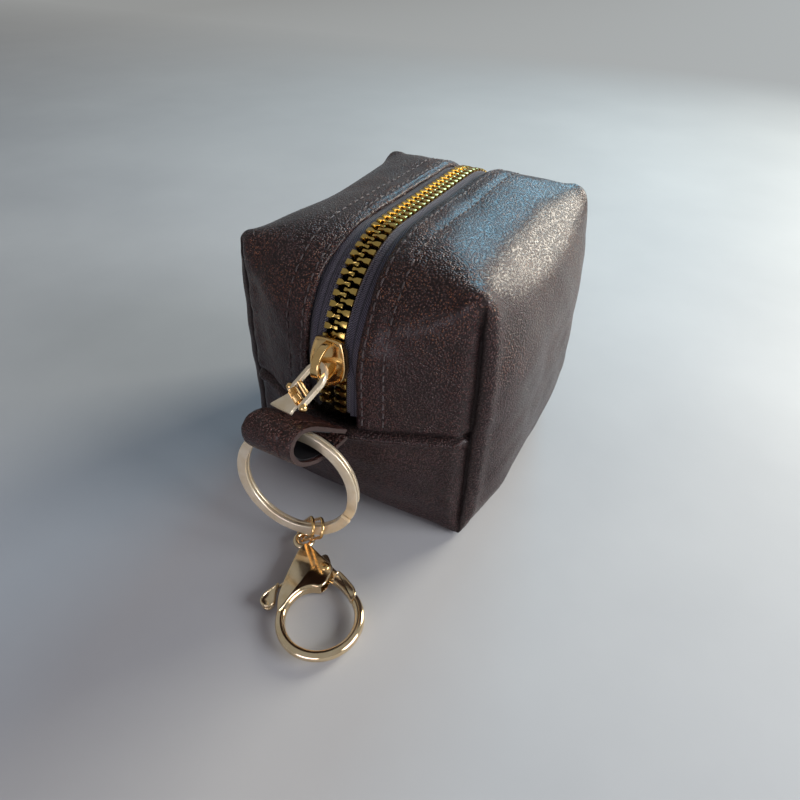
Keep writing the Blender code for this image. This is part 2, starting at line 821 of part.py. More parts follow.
def strap(name, width, thickness, inset, shorter):
    """Fold a strip along the loop's line, drawn in by the inset, ending short of the seam."""
    line = [point for point in loop_centreline() if point[0] >= shorter]
    outline = []
    for index, point in enumerate(line):
        before = line[max(index - 1, 0)]
        after = line[min(index + 1, len(line) - 1)]
        run = Vector((after[0] - before[0], after[1] - before[1])).normalized()
        outline.append((Vector(point), Vector((-run.y, run.x))))
    outside = [tuple(point + normal * -inset) for point, normal in outline]
    inside = [tuple(point - normal * (inset + thickness)) for point, normal in outline]
    shape = plate(name, [outside + inside[::-1]], width)
    upright = Matrix(((0, 0, 1, LOOP_SIDE), (-1, 0, 0, LOOP_ROOT_Y), (0, 1, 0, LOOP_ROOT_Z), (0, 0, 0, 1)))
    shape = moved(shape, upright)
    for corner in shape.data.vertices:
        corner.co.x -= LOOP_SKEW * (LOOP_ROOT_Y - corner.co.y) / LOOP_REACH
    return shape


def build_loop():
    """Outer leather strip of the loop."""
    return place(strap("loop_strap", LOOP_WIDTH, LOOP_THICK, 0, 0), strap_finish())


def build_loop_lining():
    """Narrower black strip inside the loop."""
    inset = LOOP_THICK + CLEARANCE
    return place(strap("loop_lining", LOOP_WIDTH * 0.88, LOOP_LINING, inset, LOOP_THICK * 3), strap_lining_finish())


# Rings

RING_CENTRE = from_root(RING_SIDE, RING_OUT, RING_DROP)
RING_NORMAL = Vector((0.16, -0.98, 0.105)).normalized()


def ring_frame():
    """Return the matrix of the key ring, with local Z through the ring and local Y up."""
    across = Vector((0, 0, 1)).cross(RING_NORMAL).normalized()
    up = RING_NORMAL.cross(across)
    return Matrix((
        (across.x, up.x, RING_NORMAL.x, RING_CENTRE.x),
        (across.y, up.y, RING_NORMAL.y, RING_CENTRE.y),
        (across.z, up.z, RING_NORMAL.z, RING_CENTRE.z),
        (0, 0, 0, 1),
    ))


def build_key_ring():
    """Split ring: a flat strip wound twice round, with a short step from one coil to the other."""
    work = bmesh.new()
    low = RING_RADIUS - RING_FLAT
    corners = [work.verts.new((x, 0, z)) for x, z in (
        (low, 0), (RING_RADIUS, 0), (RING_RADIUS, RING_COIL), (low, RING_COIL))]
    end = [work.faces.new(corners)]
    pitch = RING_COIL + CLEARANCE
    level = 2 * math.pi - RING_JOG
    for turn, rise, steps in ((level, 0, 52), (RING_JOG, pitch, 6), (level, 0, 52)):
        coil = bmesh.ops.spin(
            work, geom=end, axis=(0, 0, 1), cent=(0, 0, 0), steps=steps, angle=turn,
            dvec=(0, 0, rise / steps), use_duplicate=False,
        )
        end = coil["geom_last"]
    item = mesh_object("key_ring", work)
    centred = Matrix.Translation((0, 0, -(RING_COIL + pitch) / 2))
    start = Matrix.Rotation(RING_START, 4, "Z")
    item = moved(item, ring_frame() @ centred @ start)
    return place(hinged(item, ring_hinge(), (1, 0, 0)), gold_finish())


def ring_hinge():
    """Return the point inside the loop that the key ring swings about."""
    return ring_frame() @ Vector((0, RING_RADIUS - RING_FLAT, 0))


JUMP_SIDE = Vector((-0.70, 0.715, 0)).normalized()
JUMP_ACROSS = JUMP_SIDE.cross(Vector((0, 0, 1)))
EYE_CENTRE = from_root(EYE_SIDE, EYE_OUT, EYE_DROP)
FRONT_FOOT_SHARES = (0.228, -0.055, 0.312)
FRONT_HEAD_SHARES = (-0.342, 0.200, 1.168)
REAR_FOOT_SHARES = (0.278, 0.084, 0.312)
REAR_HEAD_SHARES = (-0.523, 0.418, 1.261)


def beside_eye(shares):
    """Place a point given as shares of the links' reach: away from the clasp, along the far rim, and up."""
    away, along, up = (share * JUMP_REACH for share in shares)
    return EYE_CENTRE + JUMP_SIDE * away + JUMP_ACROSS * along + Vector((0, 0, up))


def jump_path(foot, head):
    """Line of one oval link, round its foot in the clasp's eye and its head in the key ring."""
    low = beside_eye(foot)
    high = beside_eye(head)
    up = (high - low).normalized()
    wide = (JUMP_SIDE - up * JUMP_SIDE.dot(up)).normalized()
    points = []
    for middle, start in ((high, 0), (low, math.pi)):
        for step in range(13):
            turn = start + math.pi * step / 12
            points.append(middle + (wide * math.cos(turn) + up * math.sin(turn)) * JUMP_HALF_WIDTH)
    return points


def build_jump_ring(name, foot, head):
    """Small wire link between the key ring and the clasp."""
    item = rod(name, jump_path(foot, head), JUMP_WIRE, closed=True, ends=2)
    return place(hinged(item, ring_foot(), (1, 0, 0)), gold_finish(), True)


def ring_foot():
    """Return the middle of the key ring's lowest part."""
    return ring_frame() @ Vector((0, -(RING_RADIUS - RING_FLAT / 2), 0))


# Clasp, drawn flat: its ring is centred on the origin and its eye lies at +Y

CLASP_CENTRE = from_root(CLASP_SIDE, CLASP_OUT, EYE_DROP)
PIVOT = (PIVOT_SIDE, PIVOT_UP)


def clasp_frame():
    """Return the matrix of the clasp, which lies flat under the key ring."""
    up = (EYE_CENTRE - CLASP_CENTRE).normalized()
    across = up.cross(Vector((0, 0, 1)))
    height = CLASP_CENTRE.z + CLASP_THICK / 2 + CLASP_LIFT
    return Matrix((
        (across.x, up.x, 0, CLASP_CENTRE.x),
        (across.y, up.y, 0, CLASP_CENTRE.y),
        (across.z, up.z, 1, height),
        (0, 0, 0, 1),
    ))


def arc(radius, start, end, steps):
    """Points on a circle about the origin, angles in degrees from +X."""
    points = []
    for step in range(steps + 1):
        turn = math.radians(start + (end - start) * step / steps)
        points.append((radius * math.cos(turn), radius * math.sin(turn), 0))
    return points


FORK_SHARES = ((-1.02, 0.36), (-0.90, 0.40), (-0.62, 0.72), (-0.34, 0.88), (-0.04, 0.90), (0.12, 0.80), (0.30, 0.85),
               (0.42, 1.02), (0.56, 1.22), (0.60, 1.42), (0.46, 1.62), (0.33, 1.84), (0.09, 2.30), (-0.12, 2.30),
               (-0.54, 1.61), (-0.78, 1.18), (-0.96, 0.79))
ARM_SHARES = ((0.21, 1.36), (0.34, 1.14), (0.61, 0.83), (0.79, 0.49), (0.85, 0.165), (1.076, 0.465), (0.975, 0.77),
              (0.80, 1.16), (0.58, 1.46), (0.59, 1.74), (0.53, 1.95), (0.30, 1.88), (0.24, 1.60))
GATE_SHARES = ((0.57, 0.88), (0.79, 0.49), (0.85, 0.165), (1.076, 0.465), (0.975, 0.77), (0.86, 1.03))
TAB_SHARES = ((0.50, 1.26), (0.46, 1.54), (-0.40, 1.50), (-0.78, 1.33), (-1.06, 1.18), (-1.33, 1.05), (-1.43, 0.85),
              (-1.30, 0.62), (-1.14, 0.63), (-1.06, 0.80), (-0.97, 1.02), (-0.88, 1.26), (-0.40, 1.27))
JOINT_SHARES = ((0.77, 0.006), (1.24, 0.62), (0.90, 0.90), (0.50, 0.40))
PAD_SHARES = (-1.21, 0.85)


def by_radius(shares):
    """Turn places given as shares of the clasp's ring into lengths."""
    return [(x * CLASP_RING_RADIUS, y * CLASP_RING_RADIUS) for x, y in shares]


def build_clasp_body():
    """Hook ring, forked cheeks and eye of the clasp, in one casting."""
    radius = CLASP_RING_RADIUS
    hook = rod("clasp_body", arc(radius, 84, 390, 48), CLASP_TUBE, ends=3)
    fork = plate("fork", [smoothed(by_radius(FORK_SHARES), 1)], CLASP_THICK)
    eye_path = [(x, y + CLASP_LENGTH, 0) for x, y, z in arc(EYE_RADIUS, -90, 252, 19)]
    eye = rod("eye", eye_path, EYE_TUBE, closed=True, ends=2)
    body = combine(hook, [fork, eye], "UNION")
    slot = CLASP_THICK - 2 * CLASP_CHEEK
    gap = box(
        "fork_gap",
        (-radius * 1.4, radius * 1.18, -slot / 2),
        (radius * 1.4, CLASP_LENGTH * 0.80, slot / 2),
    )
    gate_gap = box("gate_gap", (radius * 0.2, radius * 0.7, -slot / 2), (radius * 1.4, radius * 1.25, slot / 2))
    joint = plate("joint", [by_radius(JOINT_SHARES)], CLASP_THICK)
    body = combine(body, [gap, gate_gap, joint], "DIFFERENCE")
    pin_hole = cylinder("rivet_hole", RIVET_RADIUS + CLEARANCE, CLASP_THICK * 2, (*PIVOT, 0), 14)
    body = combine(body, [pin_hole], "DIFFERENCE")
    frame = clasp_frame()
    return place(hinged(moved(body, frame), eye_hinge(), JUMP_SIDE.cross(Vector((0, 0, 1)))), gold_finish())


def eye_hinge():
    """Return the middle of the clasp's eye."""
    return clasp_frame() @ Vector((0, CLASP_LENGTH, 0))


def build_clasp_lever():
    """Sprung lever: a gate that closes the ring, a hub on the rivet and a thumb tab."""
    thick = CLASP_THICK - 2 * CLASP_CHEEK - 2 * CLEARANCE - SPRING_TALL
    full = thick + SPRING_TALL
    lever = plate("clasp_lever", [smoothed(by_radius(ARM_SHARES), 1)], thick)
    thumb = plate("thumb", [smoothed(by_radius(TAB_SHARES), 1)], thick)
    raised = Matrix.Translation((0, 0, SPRING_TALL / 2))
    gate = moved(plate("gate", [smoothed(by_radius(GATE_SHARES), 1)], full), raised)
    pad = cylinder("pad", CLASP_TUBE * 1.6, full, (*by_radius([PAD_SHARES])[0], SPRING_TALL / 2), 18)
    lever = combine(lever, [thumb, gate, pad], "UNION")
    hole = cylinder("hub_hole", RIVET_RADIUS + CLEARANCE, CLASP_THICK * 2, (*PIVOT, 0), 14)
    lever = combine(lever, [hole], "DIFFERENCE")
    lower = Matrix.Translation((0, 0, -(SPRING_TALL) / 2))
    frame = clasp_frame()
    lever = moved(lever, frame @ lower)
    return place(hinged(lever, frame @ Vector((*PIVOT, 0)), (0, 0, 1)), gold_finish())


def build_clasp_spring():
    """Small coil on the rivet, above the lever's hub, with one leg along the gate."""
    path = []
    radius = RIVET_RADIUS + CLEARANCE + SPRING_WIRE * 2.4
    turns = 1.75
    steps = 30
    floor = CLASP_THICK / 2 - CLASP_CHEEK - SPRING_TALL + CLEARANCE + SPRING_WIRE
    climb = SPRING_TALL - 2 * CLEARANCE - 2 * SPRING_WIRE
    for step in range(steps + 1):
        share = step / steps
        turn = -2 * math.pi * turns * share
        path.append((
            PIVOT[0] + radius * math.cos(turn),
            PIVOT[1] + radius * math.sin(turn),
            floor + climb * share,
        ))
    last = path[-1]
    path.append((last[0] - radius * 1.6, last[1], last[2]))
    spring = rod("clasp_spring", path, SPRING_WIRE, ends=1)
    return place(moved(spring, clasp_frame()), finish("spring_steel", (0.5, 0.5, 0.52), 0.35, 1))


def build_clasp_rivet():
    """Headed rivet through the fork and the lever."""
    low = CLASP_THICK / 2 + CLEARANCE
    rivet = cylinder("clasp_rivet", RIVET_RADIUS, 2 * low + RIVET_HEAD / 2, (*PIVOT, 0), 14)
    heads = []
    for side in (-1, 1):
        flip = Matrix.Rotation(0 if side > 0 else math.pi, 4, "X")
        middle = (0, 0, low + RIVET_HEAD / 2)
        head = cylinder("head", RIVET_RADIUS * 1.9, RIVET_HEAD, middle, 14, RIVET_RADIUS * 1.2)
        spot = Matrix.Translation((*PIVOT, 0))
        heads.append(moved(head, spot @ flip))
    rivet = combine(rivet, heads, "UNION")
    return place(moved(rivet, clasp_frame()), gold_finish())


def main():
    clear_scene()
    build_panel()
    for name, side in (("left", -1), ("right", 1)):
        build_tape(f"zipper_tape_{name}", side)
        build_teeth(f"zipper_teeth_{name}", side)
    build_slider()
    build_crown()
    build_pull_link()
    build_pull_pin()
    build_paddle()
    build_loop()
    build_loop_lining()
    build_key_ring()
    build_jump_ring("jump_ring_front", FRONT_FOOT_SHARES, FRONT_HEAD_SHARES)
    build_jump_ring("jump_ring_rear", REAR_FOOT_SHARES, REAR_HEAD_SHARES)
    build_clasp_body()
    build_clasp_lever()
    build_clasp_spring()
    build_clasp_rivet()
    bpy.data.collections.remove(GUIDES)


main()
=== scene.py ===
"""Dress the zipper pouch keychain for a studio view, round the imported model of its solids.

X runs across the pouch, -Y is the end with the strap loop and the clasp, +Z is up. Sizes are in metres.
"""

import logging
import math
from dataclasses import dataclass
from enum import Enum

import bmesh
import bpy
import numpy as np
from mathutils import Matrix

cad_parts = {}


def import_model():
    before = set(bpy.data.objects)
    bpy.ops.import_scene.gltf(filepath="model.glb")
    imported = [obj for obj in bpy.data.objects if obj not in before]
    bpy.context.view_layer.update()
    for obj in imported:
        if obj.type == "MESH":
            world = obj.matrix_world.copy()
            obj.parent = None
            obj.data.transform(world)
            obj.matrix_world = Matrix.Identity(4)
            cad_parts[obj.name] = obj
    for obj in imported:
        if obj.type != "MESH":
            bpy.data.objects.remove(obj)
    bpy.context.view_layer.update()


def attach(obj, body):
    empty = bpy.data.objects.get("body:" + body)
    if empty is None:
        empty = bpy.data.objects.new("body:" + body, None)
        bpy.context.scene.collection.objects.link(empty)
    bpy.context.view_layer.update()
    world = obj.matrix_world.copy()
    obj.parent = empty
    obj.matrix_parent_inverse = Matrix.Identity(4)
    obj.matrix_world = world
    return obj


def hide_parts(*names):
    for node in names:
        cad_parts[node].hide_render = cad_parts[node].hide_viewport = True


LOG = logging.getLogger("zipper_pouch")
Array = np.ndarray
Socket = bpy.types.NodeSocket
TURN = 2 * math.pi
ACROSS = np.array((1.0, 0.0, 0.0))
ALONG = np.array((0.0, 1.0, 0.0))
UP = np.array((0.0, 0.0, 1.0))
CLASP_EYE = (-0.0034, -0.0636, 0.0)


class Side(Enum):
    """Side of the zipper that a piece lies on."""

    LEFT = -1
    RIGHT = 1


class Tone(Enum):
    """Colour of a polished metal, as linear red, green and blue."""

    CREAM = (0.99, 0.86, 0.65)
    PALE = (0.90, 0.73, 0.50)
    WARM = (0.86, 0.58, 0.26)
    BRASS = (0.62, 0.43, 0.13)
    STEEL = (0.55, 0.55, 0.57)


# Small sums on whole arrays


def unit(vectors: Array) -> Array:
    """Return each vector over its own length."""
    return vectors / np.maximum(np.linalg.norm(vectors, axis=-1, keepdims=True), 1e-12)


def ease(value: Array, low: float, high: float) -> Array:
    """Rise softly from 0 at low to 1 at high: t * t * (3 - 2 * t)."""
    share = np.clip((value - low) / (high - low), 0.0, 1.0)
    return share * share * (3 - 2 * share)


def bump(value: Array, width: float) -> Array:
    """Return a round bump of height 1 and the given width: exp(-(value / width)^2)."""
    return np.exp(-((value / width) ** 2))


def ridge(value: Array, place: float, width: float) -> Array:
    """Return the same round bump with its top at the given place."""
    return bump(value - place, width)


def ripple(points: Array, scale: float, seed: int, terms: int = 22) -> Array:
    """Return soft noise, the sum of sine waves sin(k . p + a) in seeded directions.

    Args:
        points: Places to read the noise at, as an array that ends in 3.
        scale: Usual length of a wave, in metres.
        seed: Number that fixes the waves.
        terms: How many waves are summed.

    Returns:
        The noise at each point, mostly from -1 to 1.
    """
    source = np.random.default_rng(seed)
    waves = unit(source.normal(size=(terms, 3))) * source.uniform(0.6, 1.7, (terms, 1)) * TURN / scale
    phases = source.uniform(0, TURN, terms)
    return np.sin(points @ waves.T + phases).sum(axis=-1) * math.sqrt(0.7 / terms)


def rounded_rectangle(half_wide: float, half_tall: float, radius: float, steps: int = 4) -> Array:
    """Return a closed rounded rectangle: four corner centres, each plus radius * (cos t, sin t)."""
    turns = np.linspace(0, TURN / 4, steps)[None, :] + np.arange(4)[:, None] * TURN / 4
    centres_x = (half_wide - radius) * np.array((1, -1, -1, 1))[:, None]
    centres_y = (half_tall - radius) * np.array((1, 1, -1, -1))[:, None]
    points = np.stack((centres_x + radius * np.cos(turns), centres_y + radius * np.sin(turns)), axis=-1)
    return closed(points.reshape(-1, 2))


def round_profile(half_wide: float, half_tall: float, power: float = 2.0, steps: int = 24) -> Array:
    """Return a closed superellipse: (a * |cos t|^(2/p), b * |sin t|^(2/p)), with the signs kept."""
    turns = np.linspace(0, TURN, steps + 1)
    cosine, sine = np.cos(turns), np.sin(turns)
    wide = half_wide * np.sign(cosine) * np.abs(cosine) ** (2 / power)
    tall = half_tall * np.sign(sine) * np.abs(sine) ** (2 / power)
    return np.stack((wide, tall), axis=-1)


def closed(points: Array) -> Array:
    """Repeat the first point at the end."""
    return np.concatenate((points, points[:1]))


def looped(rings: Array) -> Array:
    """Repeat the first point of each ring at its end."""
    return np.concatenate((rings, rings[:, :1]), axis=1)


def chaikin(points: Array, rounds: int = 2, loop: bool = False) -> Array:
    """Round a line by cutting its corners at a quarter and three quarters of each run."""
    for _ in range(rounds):
        start = points if loop else points[:-1]
        end = np.roll(points, -1, axis=0) if loop else points[1:]
        cut = np.stack((0.75 * start + 0.25 * end, 0.25 * start + 0.75 * end), axis=1)
        cut = cut.reshape(-1, points.shape[1])
        points = cut if loop else np.concatenate((points[:1], cut, points[-1:]))
    return points


def lengths_along(points: Array) -> Array:
    """Return the length of a line from its start to each of its points: the sum of the steps so far."""
    return np.concatenate(((0,), np.cumsum(np.linalg.norm(np.diff(points, axis=0), axis=1))))


def read_at(wanted: Array, lengths: Array, points: Array) -> Array:
    """Read each axis of a line's points at the wanted lengths."""
    return np.stack([np.interp(wanted, lengths, points[:, axis]) for axis in range(points.shape[1])], axis=-1)


def resampled(points: Array, count: int) -> Array:
    """Return points spaced evenly along a line, by reading each axis against the length so far."""
    lengths = lengths_along(points)
    return read_at(np.linspace(0, lengths[-1], count), lengths, points)


def local_frame(across: Array, along: Array, through: Array, place: Array) -> Array:
    """Return the matrix of a local frame: its three directions as columns, and its place."""
    made = np.eye(4)
    made[:3, :3] = np.stack((across, along, through), axis=1)
    made[:3, 3] = place
    return made


def placed(matrix: Array, points: Array) -> Array:
    """Carry local points to the world: rotation . p + place."""
    return points @ matrix[:3, :3].T + matrix[:3, 3]


def sweep(path: Array, across: Array, through: Array, profile: Array) -> Array:
    """Carry a profile along a path: point = path + across * profile_x + through * profile_y.

    Args:
        path: Points of the path, (n, 3).
        across: Direction of the profile's x at each point, (n, 3) or (3,).
        through: Direction of the profile's y at each point, (n, 3) or (3,).
        profile: Closed profile, (m, 2) or (n, m, 2).

    Returns:
        A grid of points, (n, m, 3).
    """
    across = np.broadcast_to(across, path.shape)
    through = np.broadcast_to(through, path.shape)
    profile = np.broadcast_to(profile, (len(path), *profile.shape[-2:]))
    return path[:, None, :] + across[:, None, :] * profile[:, :, :1] + through[:, None, :] * profile[:, :, 1:]


def rod(matrix: Array, start: tuple, axis: Array, reach: Array, rings: Array) -> Array:
    """Carry a profile along a straight local axis: point = start + axis * reach, with the profile across it.

    Args:
        matrix: Place of the local frame.
        start: Local point that the reach is counted from.
        axis: Local X, Y or Z, as one of the three unit vectors.
        reach: How far along the axis each ring lies, (n,).
        rings: Closed profile, (m, 2) or (n, m, 2).

    Returns:
        A grid of points in the world, (n, m, 3).
    """
    path = np.array(start) + axis * reach[:, None]
    return placed(matrix, sweep(path, np.roll(axis, 1), np.roll(axis, 2), rings))


def tangents(path: Array, loop: bool = False) -> Array:
    """Return the direction of a path at each point, from the points beside it."""
    if loop:
        ring = path[:-1]
        steps = np.roll(ring, -1, axis=0) - np.roll(ring, 1, axis=0)
        return unit(closed(steps))
    return unit(np.gradient(path, axis=0))


# Meshes


class MeshMaker:
    """Gathers grids and caps, and makes one closed mesh of them."""

    def __init__(self, name: str) -> None:
        """Start an empty mesh of the given name."""
        self.name = name
        self.points: list[Array] = []
        self.uvs: list[Array] = []
        self.faces: list[list[int]] = []
        self.count = 0

    def grid(self, points: Array, uv: Array | None = None) -> "MeshMaker":
        """Add one grid (rows, columns, 3), or several alike (n, rows, columns, 3).

        Args:
            points: The places of the grid's points.
            uv: The UV place of each point, or None for even shares of the grid.

        Returns:
            This maker, so that calls can follow each other.
        """
        rows, columns = points.shape[-3:-1]
        flat = points.reshape(-1, 3)
        sheets = len(flat) // (rows * columns)
        if uv is None:
            shares = np.meshgrid(np.linspace(0, 1, rows), np.linspace(0, 1, columns), indexing="ij")
            uv = np.broadcast_to(np.stack(shares, axis=-1), (sheets, rows, columns, 2))
        index = self.count + np.arange(len(flat)).reshape(sheets, rows, columns)
        corners = (index[:, :-1, :-1], index[:, :-1, 1:], index[:, 1:, 1:], index[:, 1:, :-1])
        quads = np.stack(corners, axis=-1).reshape(-1, 4)
        self.points.append(flat)
        self.uvs.append(np.asarray(uv, dtype=float).reshape(-1, 2))
        self.faces.extend(quads.tolist())
        self.count += len(flat)
        return self

    def cap(self, ring: Array) -> "MeshMaker":
        """Close a closed ring of points with one flat face."""
        points = ring[:-1]
        self.points.append(points)
        self.uvs.append(np.zeros((len(points), 2)))
        self.faces.append((self.count + np.arange(len(points))).tolist())
        self.count += len(points)
        return self

    def tube(self, points: Array, uv: Array | None = None, capped: bool = True) -> "MeshMaker":
        """Add a swept grid, and close its two ends."""
        self.grid(points, uv)
        if capped:
            self.cap(points[0])
            self.cap(points[-1])
        return self

    def make(self, sharp: float = 35.0, outward: bool = True) -> bpy.types.Object:
        """Weld the points that meet, turn the faces out and shade the mesh smooth.

        Args:
            sharp: Angle in degrees above which an edge stays sharp.
            outward: Whether the faces' sides are worked out again.

        Returns:
            The new object, which lies at the origin.
        """
        points = np.concatenate(self.points)
        mesh = bpy.data.meshes.new(self.name)
        mesh.from_pydata(points.tolist(), [], self.faces)
        corners = np.empty(len(mesh.loops), dtype=np.int32)
        mesh.loops.foreach_get("vertex_index", corners)
        layer = mesh.uv_layers.new(name="UVMap")
        layer.data.foreach_set("uv", np.concatenate(self.uvs)[corners].astype(np.float32).ravel())
        work = bmesh.new()
        work.from_mesh(mesh)
        bmesh.ops.remove_doubles(work, verts=work.verts, dist=2e-6)
        if outward:
            bmesh.ops.recalc_face_normals(work, faces=work.faces)
        work.to_mesh(mesh)
        work.free()
        mesh.shade_smooth()
        mesh.set_sharp_from_angle(angle=math.radians(sharp))
        piece = bpy.data.objects.new(self.name, mesh)
        bpy.context.scene.collection.objects.link(piece)
        return piece


def rounded_plate(
    maker: MeshMaker,
    matrix: Array,
    outline: Array,
    low: float,
    high: float,
    bevel: float,
    under: float | None = None,
    dish: tuple = (),
) -> None:
    """Add a flat plate with rounded edges: its outline is drawn in by bevel * (1 - sin t) towards both faces.

    Args:
        maker: The mesh that the plate is added to.
        matrix: Place of the plate, with the outline in its local XY plane.
        outline: Points of the outline, (n, 2), not closed, anticlockwise.
        low: Local Z of the lower face.
        high: Local Z of the upper face.
        bevel: Radius of the upper edge.
        under: Radius of the lower edge, or None for the same.
        dish: Width of the rim round a sunk upper face and how far the face is sunk, or nothing.
    """
    run = unit(np.roll(outline, -1, axis=0) - np.roll(outline, 1, axis=0))
    outwards = np.stack((run[:, 1], -run[:, 0]), axis=1)
    turns = np.linspace(0, TURN / 4, 5)
    lower = bevel if under is None else under
    inset = np.concatenate((lower * (1 - np.sin(turns)), bevel * (1 - np.cos(turns))))
    level = np.concatenate((low + lower * (1 - np.cos(turns)), high - bevel * (1 - np.sin(turns))))
    if dish:
        rim, depth = dish
        inset = np.concatenate((inset, bevel + rim + np.array((0, 0.25, 0.75, 1.0)) * depth))
        level = np.concatenate((level, high - np.array((0, 0.12, 0.88, 1.0)) * depth))
    rings = outline[None] - outwards[None] * inset[:, None, None]
    heights = np.broadcast_to(level[:, None, None], (*rings.shape[:2], 1))
    points = placed(matrix, np.concatenate((rings, heights), axis=-1))
    maker.tube(looped(points))


def seat(
    piece: bpy.types.Object, body: str, finish: bpy.types.Material, slot: str, *nodes: str
) -> bpy.types.Object:
    """Dress a piece, let it ride on its body, and hide the solids that it stands for.

    Args:
        piece: The new piece.
        body: The body that it moves with.
        finish: Its material.
        slot: The record's material slot, given by name; not used.
        nodes: The solids that it replaces.

    Returns:
        The same piece.
    """
    piece.data.materials.clear()
    piece.data.materials.append(finish)
    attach(piece, body)
    if nodes:
        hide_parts(*nodes)
    LOG.info("%s rides on %s, %d faces", piece.name, body, len(piece.data.polygons))
    return piece


def stand(name: str, data: bpy.types.ID, frame: Array) -> bpy.types.Object:
    """Put a camera or a lamp in the scene at a local frame."""
    made = bpy.data.objects.new(name, data)
    made.matrix_world = Matrix(frame.tolist())
    bpy.context.scene.collection.objects.link(made)
    return made


# Finishes


class TreeDesk:
    """Lays out the nodes of one tree, a material's or the world's."""

    def __init__(self, tree: bpy.types.NodeTree) -> None:
        """Take the tree that the nodes go into."""
        self.tree = tree

    def node(self, kind: str, links: dict | None = None, **settings: object) -> bpy.types.Node:
        """Add a node, set its properties and inputs, and link its sockets.

        Args:
            kind: Name of the node's type, without its first part.
            links: Sockets that feed its inputs, by the input's name or number.
            settings: Properties by name, or input values by name with spaces as underscores.

        Returns:
            The new node.
        """
        made = self.tree.nodes.new("ShaderNode" + kind)
        for key, value in settings.items():
            if hasattr(made, key):
                setattr(made, key, value)
            else:
                made.inputs[key.replace("_", " ")].default_value = value
        for key, socket in (links or {}).items():
            self.tree.links.new(socket, made.inputs[key])
        return made

    def span(self, source: Socket, low: float, high: float, to_low: float = 0, to_high: float = 1) -> Socket:
        """Map one range of numbers on another, held at its ends."""
        made = self.node("MapRange", {"Value": source})
        for key, value in zip(("From Min", "From Max", "To Min", "To Max"), (low, high, to_low, to_high)):
            made.inputs[key].default_value = value
        return made.outputs["Result"]

    def join(self, first: Socket, second: Socket, kind: str = "ADD") -> Socket:
        """Join two numbers with a sum, product or another of the Math node's kinds."""
        return self.node("Math", {0: first, 1: second}, operation=kind).outputs["Value"]

    def changed(self, source: Socket, kind: str, value: float | None = None) -> Socket:
        """Change one number with one of the Math node's kinds and a constant, if it takes one."""
        made = self.node("Math", {0: source}, operation=kind)
        if value is not None:
            made.inputs[1].default_value = value
        return made.outputs["Value"]

    def mix(self, share: Socket, low: object, high: object) -> Socket:
        """Mix two colours, each a colour or a socket."""
        made = self.node("Mix", {"Factor": share}, data_type="RGBA")
        for key, value in ((6, low), (7, high)):
            if isinstance(value, Socket):
                self.tree.links.new(value, made.inputs[key])
            else:
                made.inputs[key].default_value = (*value, 1)
        return made.outputs[2]

    def background_ray(self) -> Socket:
        """Return 1 for rays that show the background: the camera's, and those off metal or through glass."""
        path = self.node("LightPath").outputs
        seen = self.join(path["Is Camera Ray"], path["Is Glossy Ray"], "MAXIMUM")
        return self.join(seen, path["Is Transmission Ray"], "MAXIMUM")

    def show(self, share: Socket, low: Socket, high: Socket, output: str) -> None:
        """Mix two shaders and send them to the tree's output."""
        both = self.node("MixShader", {0: share, 1: low, 2: high})
        self.tree.links.new(both.outputs["Shader"], self.tree.nodes[output].inputs["Surface"])


class NodeDesk(TreeDesk):
    """Lays out the nodes of one material."""

    def __init__(self, name: str) -> None:
        """Make a material with a Principled shader and object coordinates."""
        self.material = bpy.data.materials.new(name)
        self.material.use_nodes = True
        super().__init__(self.material.node_tree)
        self.shader = self.tree.nodes["Principled BSDF"]
        self.place = self.node("TexCoord").outputs["Object"]

    def set(self, **values: object) -> None:
        """Set constant values on the shader's own sockets."""
        for key, value in values.items():
            self.shader.inputs[key.replace("_", " ")].default_value = value

    def feed(self, name: str, socket: Socket) -> None:
        """Link a socket to one of the shader's inputs."""
        self.tree.links.new(socket, self.shader.inputs[name])

    def scaled(self, scale: tuple, turn: tuple = (0, 0, 0)) -> Socket:
        """Return the piece's coordinates, stretched and turned by axis."""
        return self.node("Mapping", {"Vector": self.place}, Scale=scale, Rotation=turn).outputs["Vector"]

    def noise(
        self, scale: float, detail: float = 3.0, rough: float = 0.55, at: Socket | None = None
    ) -> Socket:
        """Return cloud noise of about 1 / scale metres, at the piece's coordinates or others."""
        links = {"Vector": self.place if at is None else at}
        return self.node("TexNoise", links, Scale=scale, Detail=detail, Roughness=rough).outputs["Fac"]

    def cells(self, scale: float, at: Socket, smooth: float = 0.35) -> Socket:
        """Return rounded cells of about 1 / scale metres."""
        made = self.node("TexVoronoi", {"Vector": at}, feature="SMOOTH_F1", Scale=scale)
        made.inputs["Smoothness"].default_value = smooth
        return made.outputs["Distance"]

    def wave(self, source: Socket, turns: float) -> Socket:
        """Return a wave from 0 to 1: (1 + sin(2 pi * turns * source)) / 2."""
        return self.span(self.changed(self.changed(source, "MULTIPLY", TURN * turns), "SINE"), -1, 1)

    def attribute(self, name: str) -> Socket:
        """Return a number that the mesh holds at each point."""
        return self.node("Attribute", attribute_name=name).outputs["Fac"]

    def uv(self) -> bpy.types.NodeOutputs:
        """Return the two parts of the piece's own UV map."""
        return self.node("SeparateXYZ", {"Vector": self.node("UVMap").outputs["UV"]}).outputs

    def relief(self, *layers: tuple) -> None:
        """Stack bumps on the shader's normal, each given as a height, its depth and its strength."""
        normal = None
        for height, depth, strength in layers:
            links = {"Height": height}
            if normal is not None:
                links["Normal"] = normal
            normal = self.node("Bump", links, Distance=depth, Strength=strength).outputs["Normal"]
        self.feed("Normal", normal)


def dimmed(colour: tuple, share: float) -> tuple:
    """Return a colour times a share."""
    return tuple(value * share for value in colour)


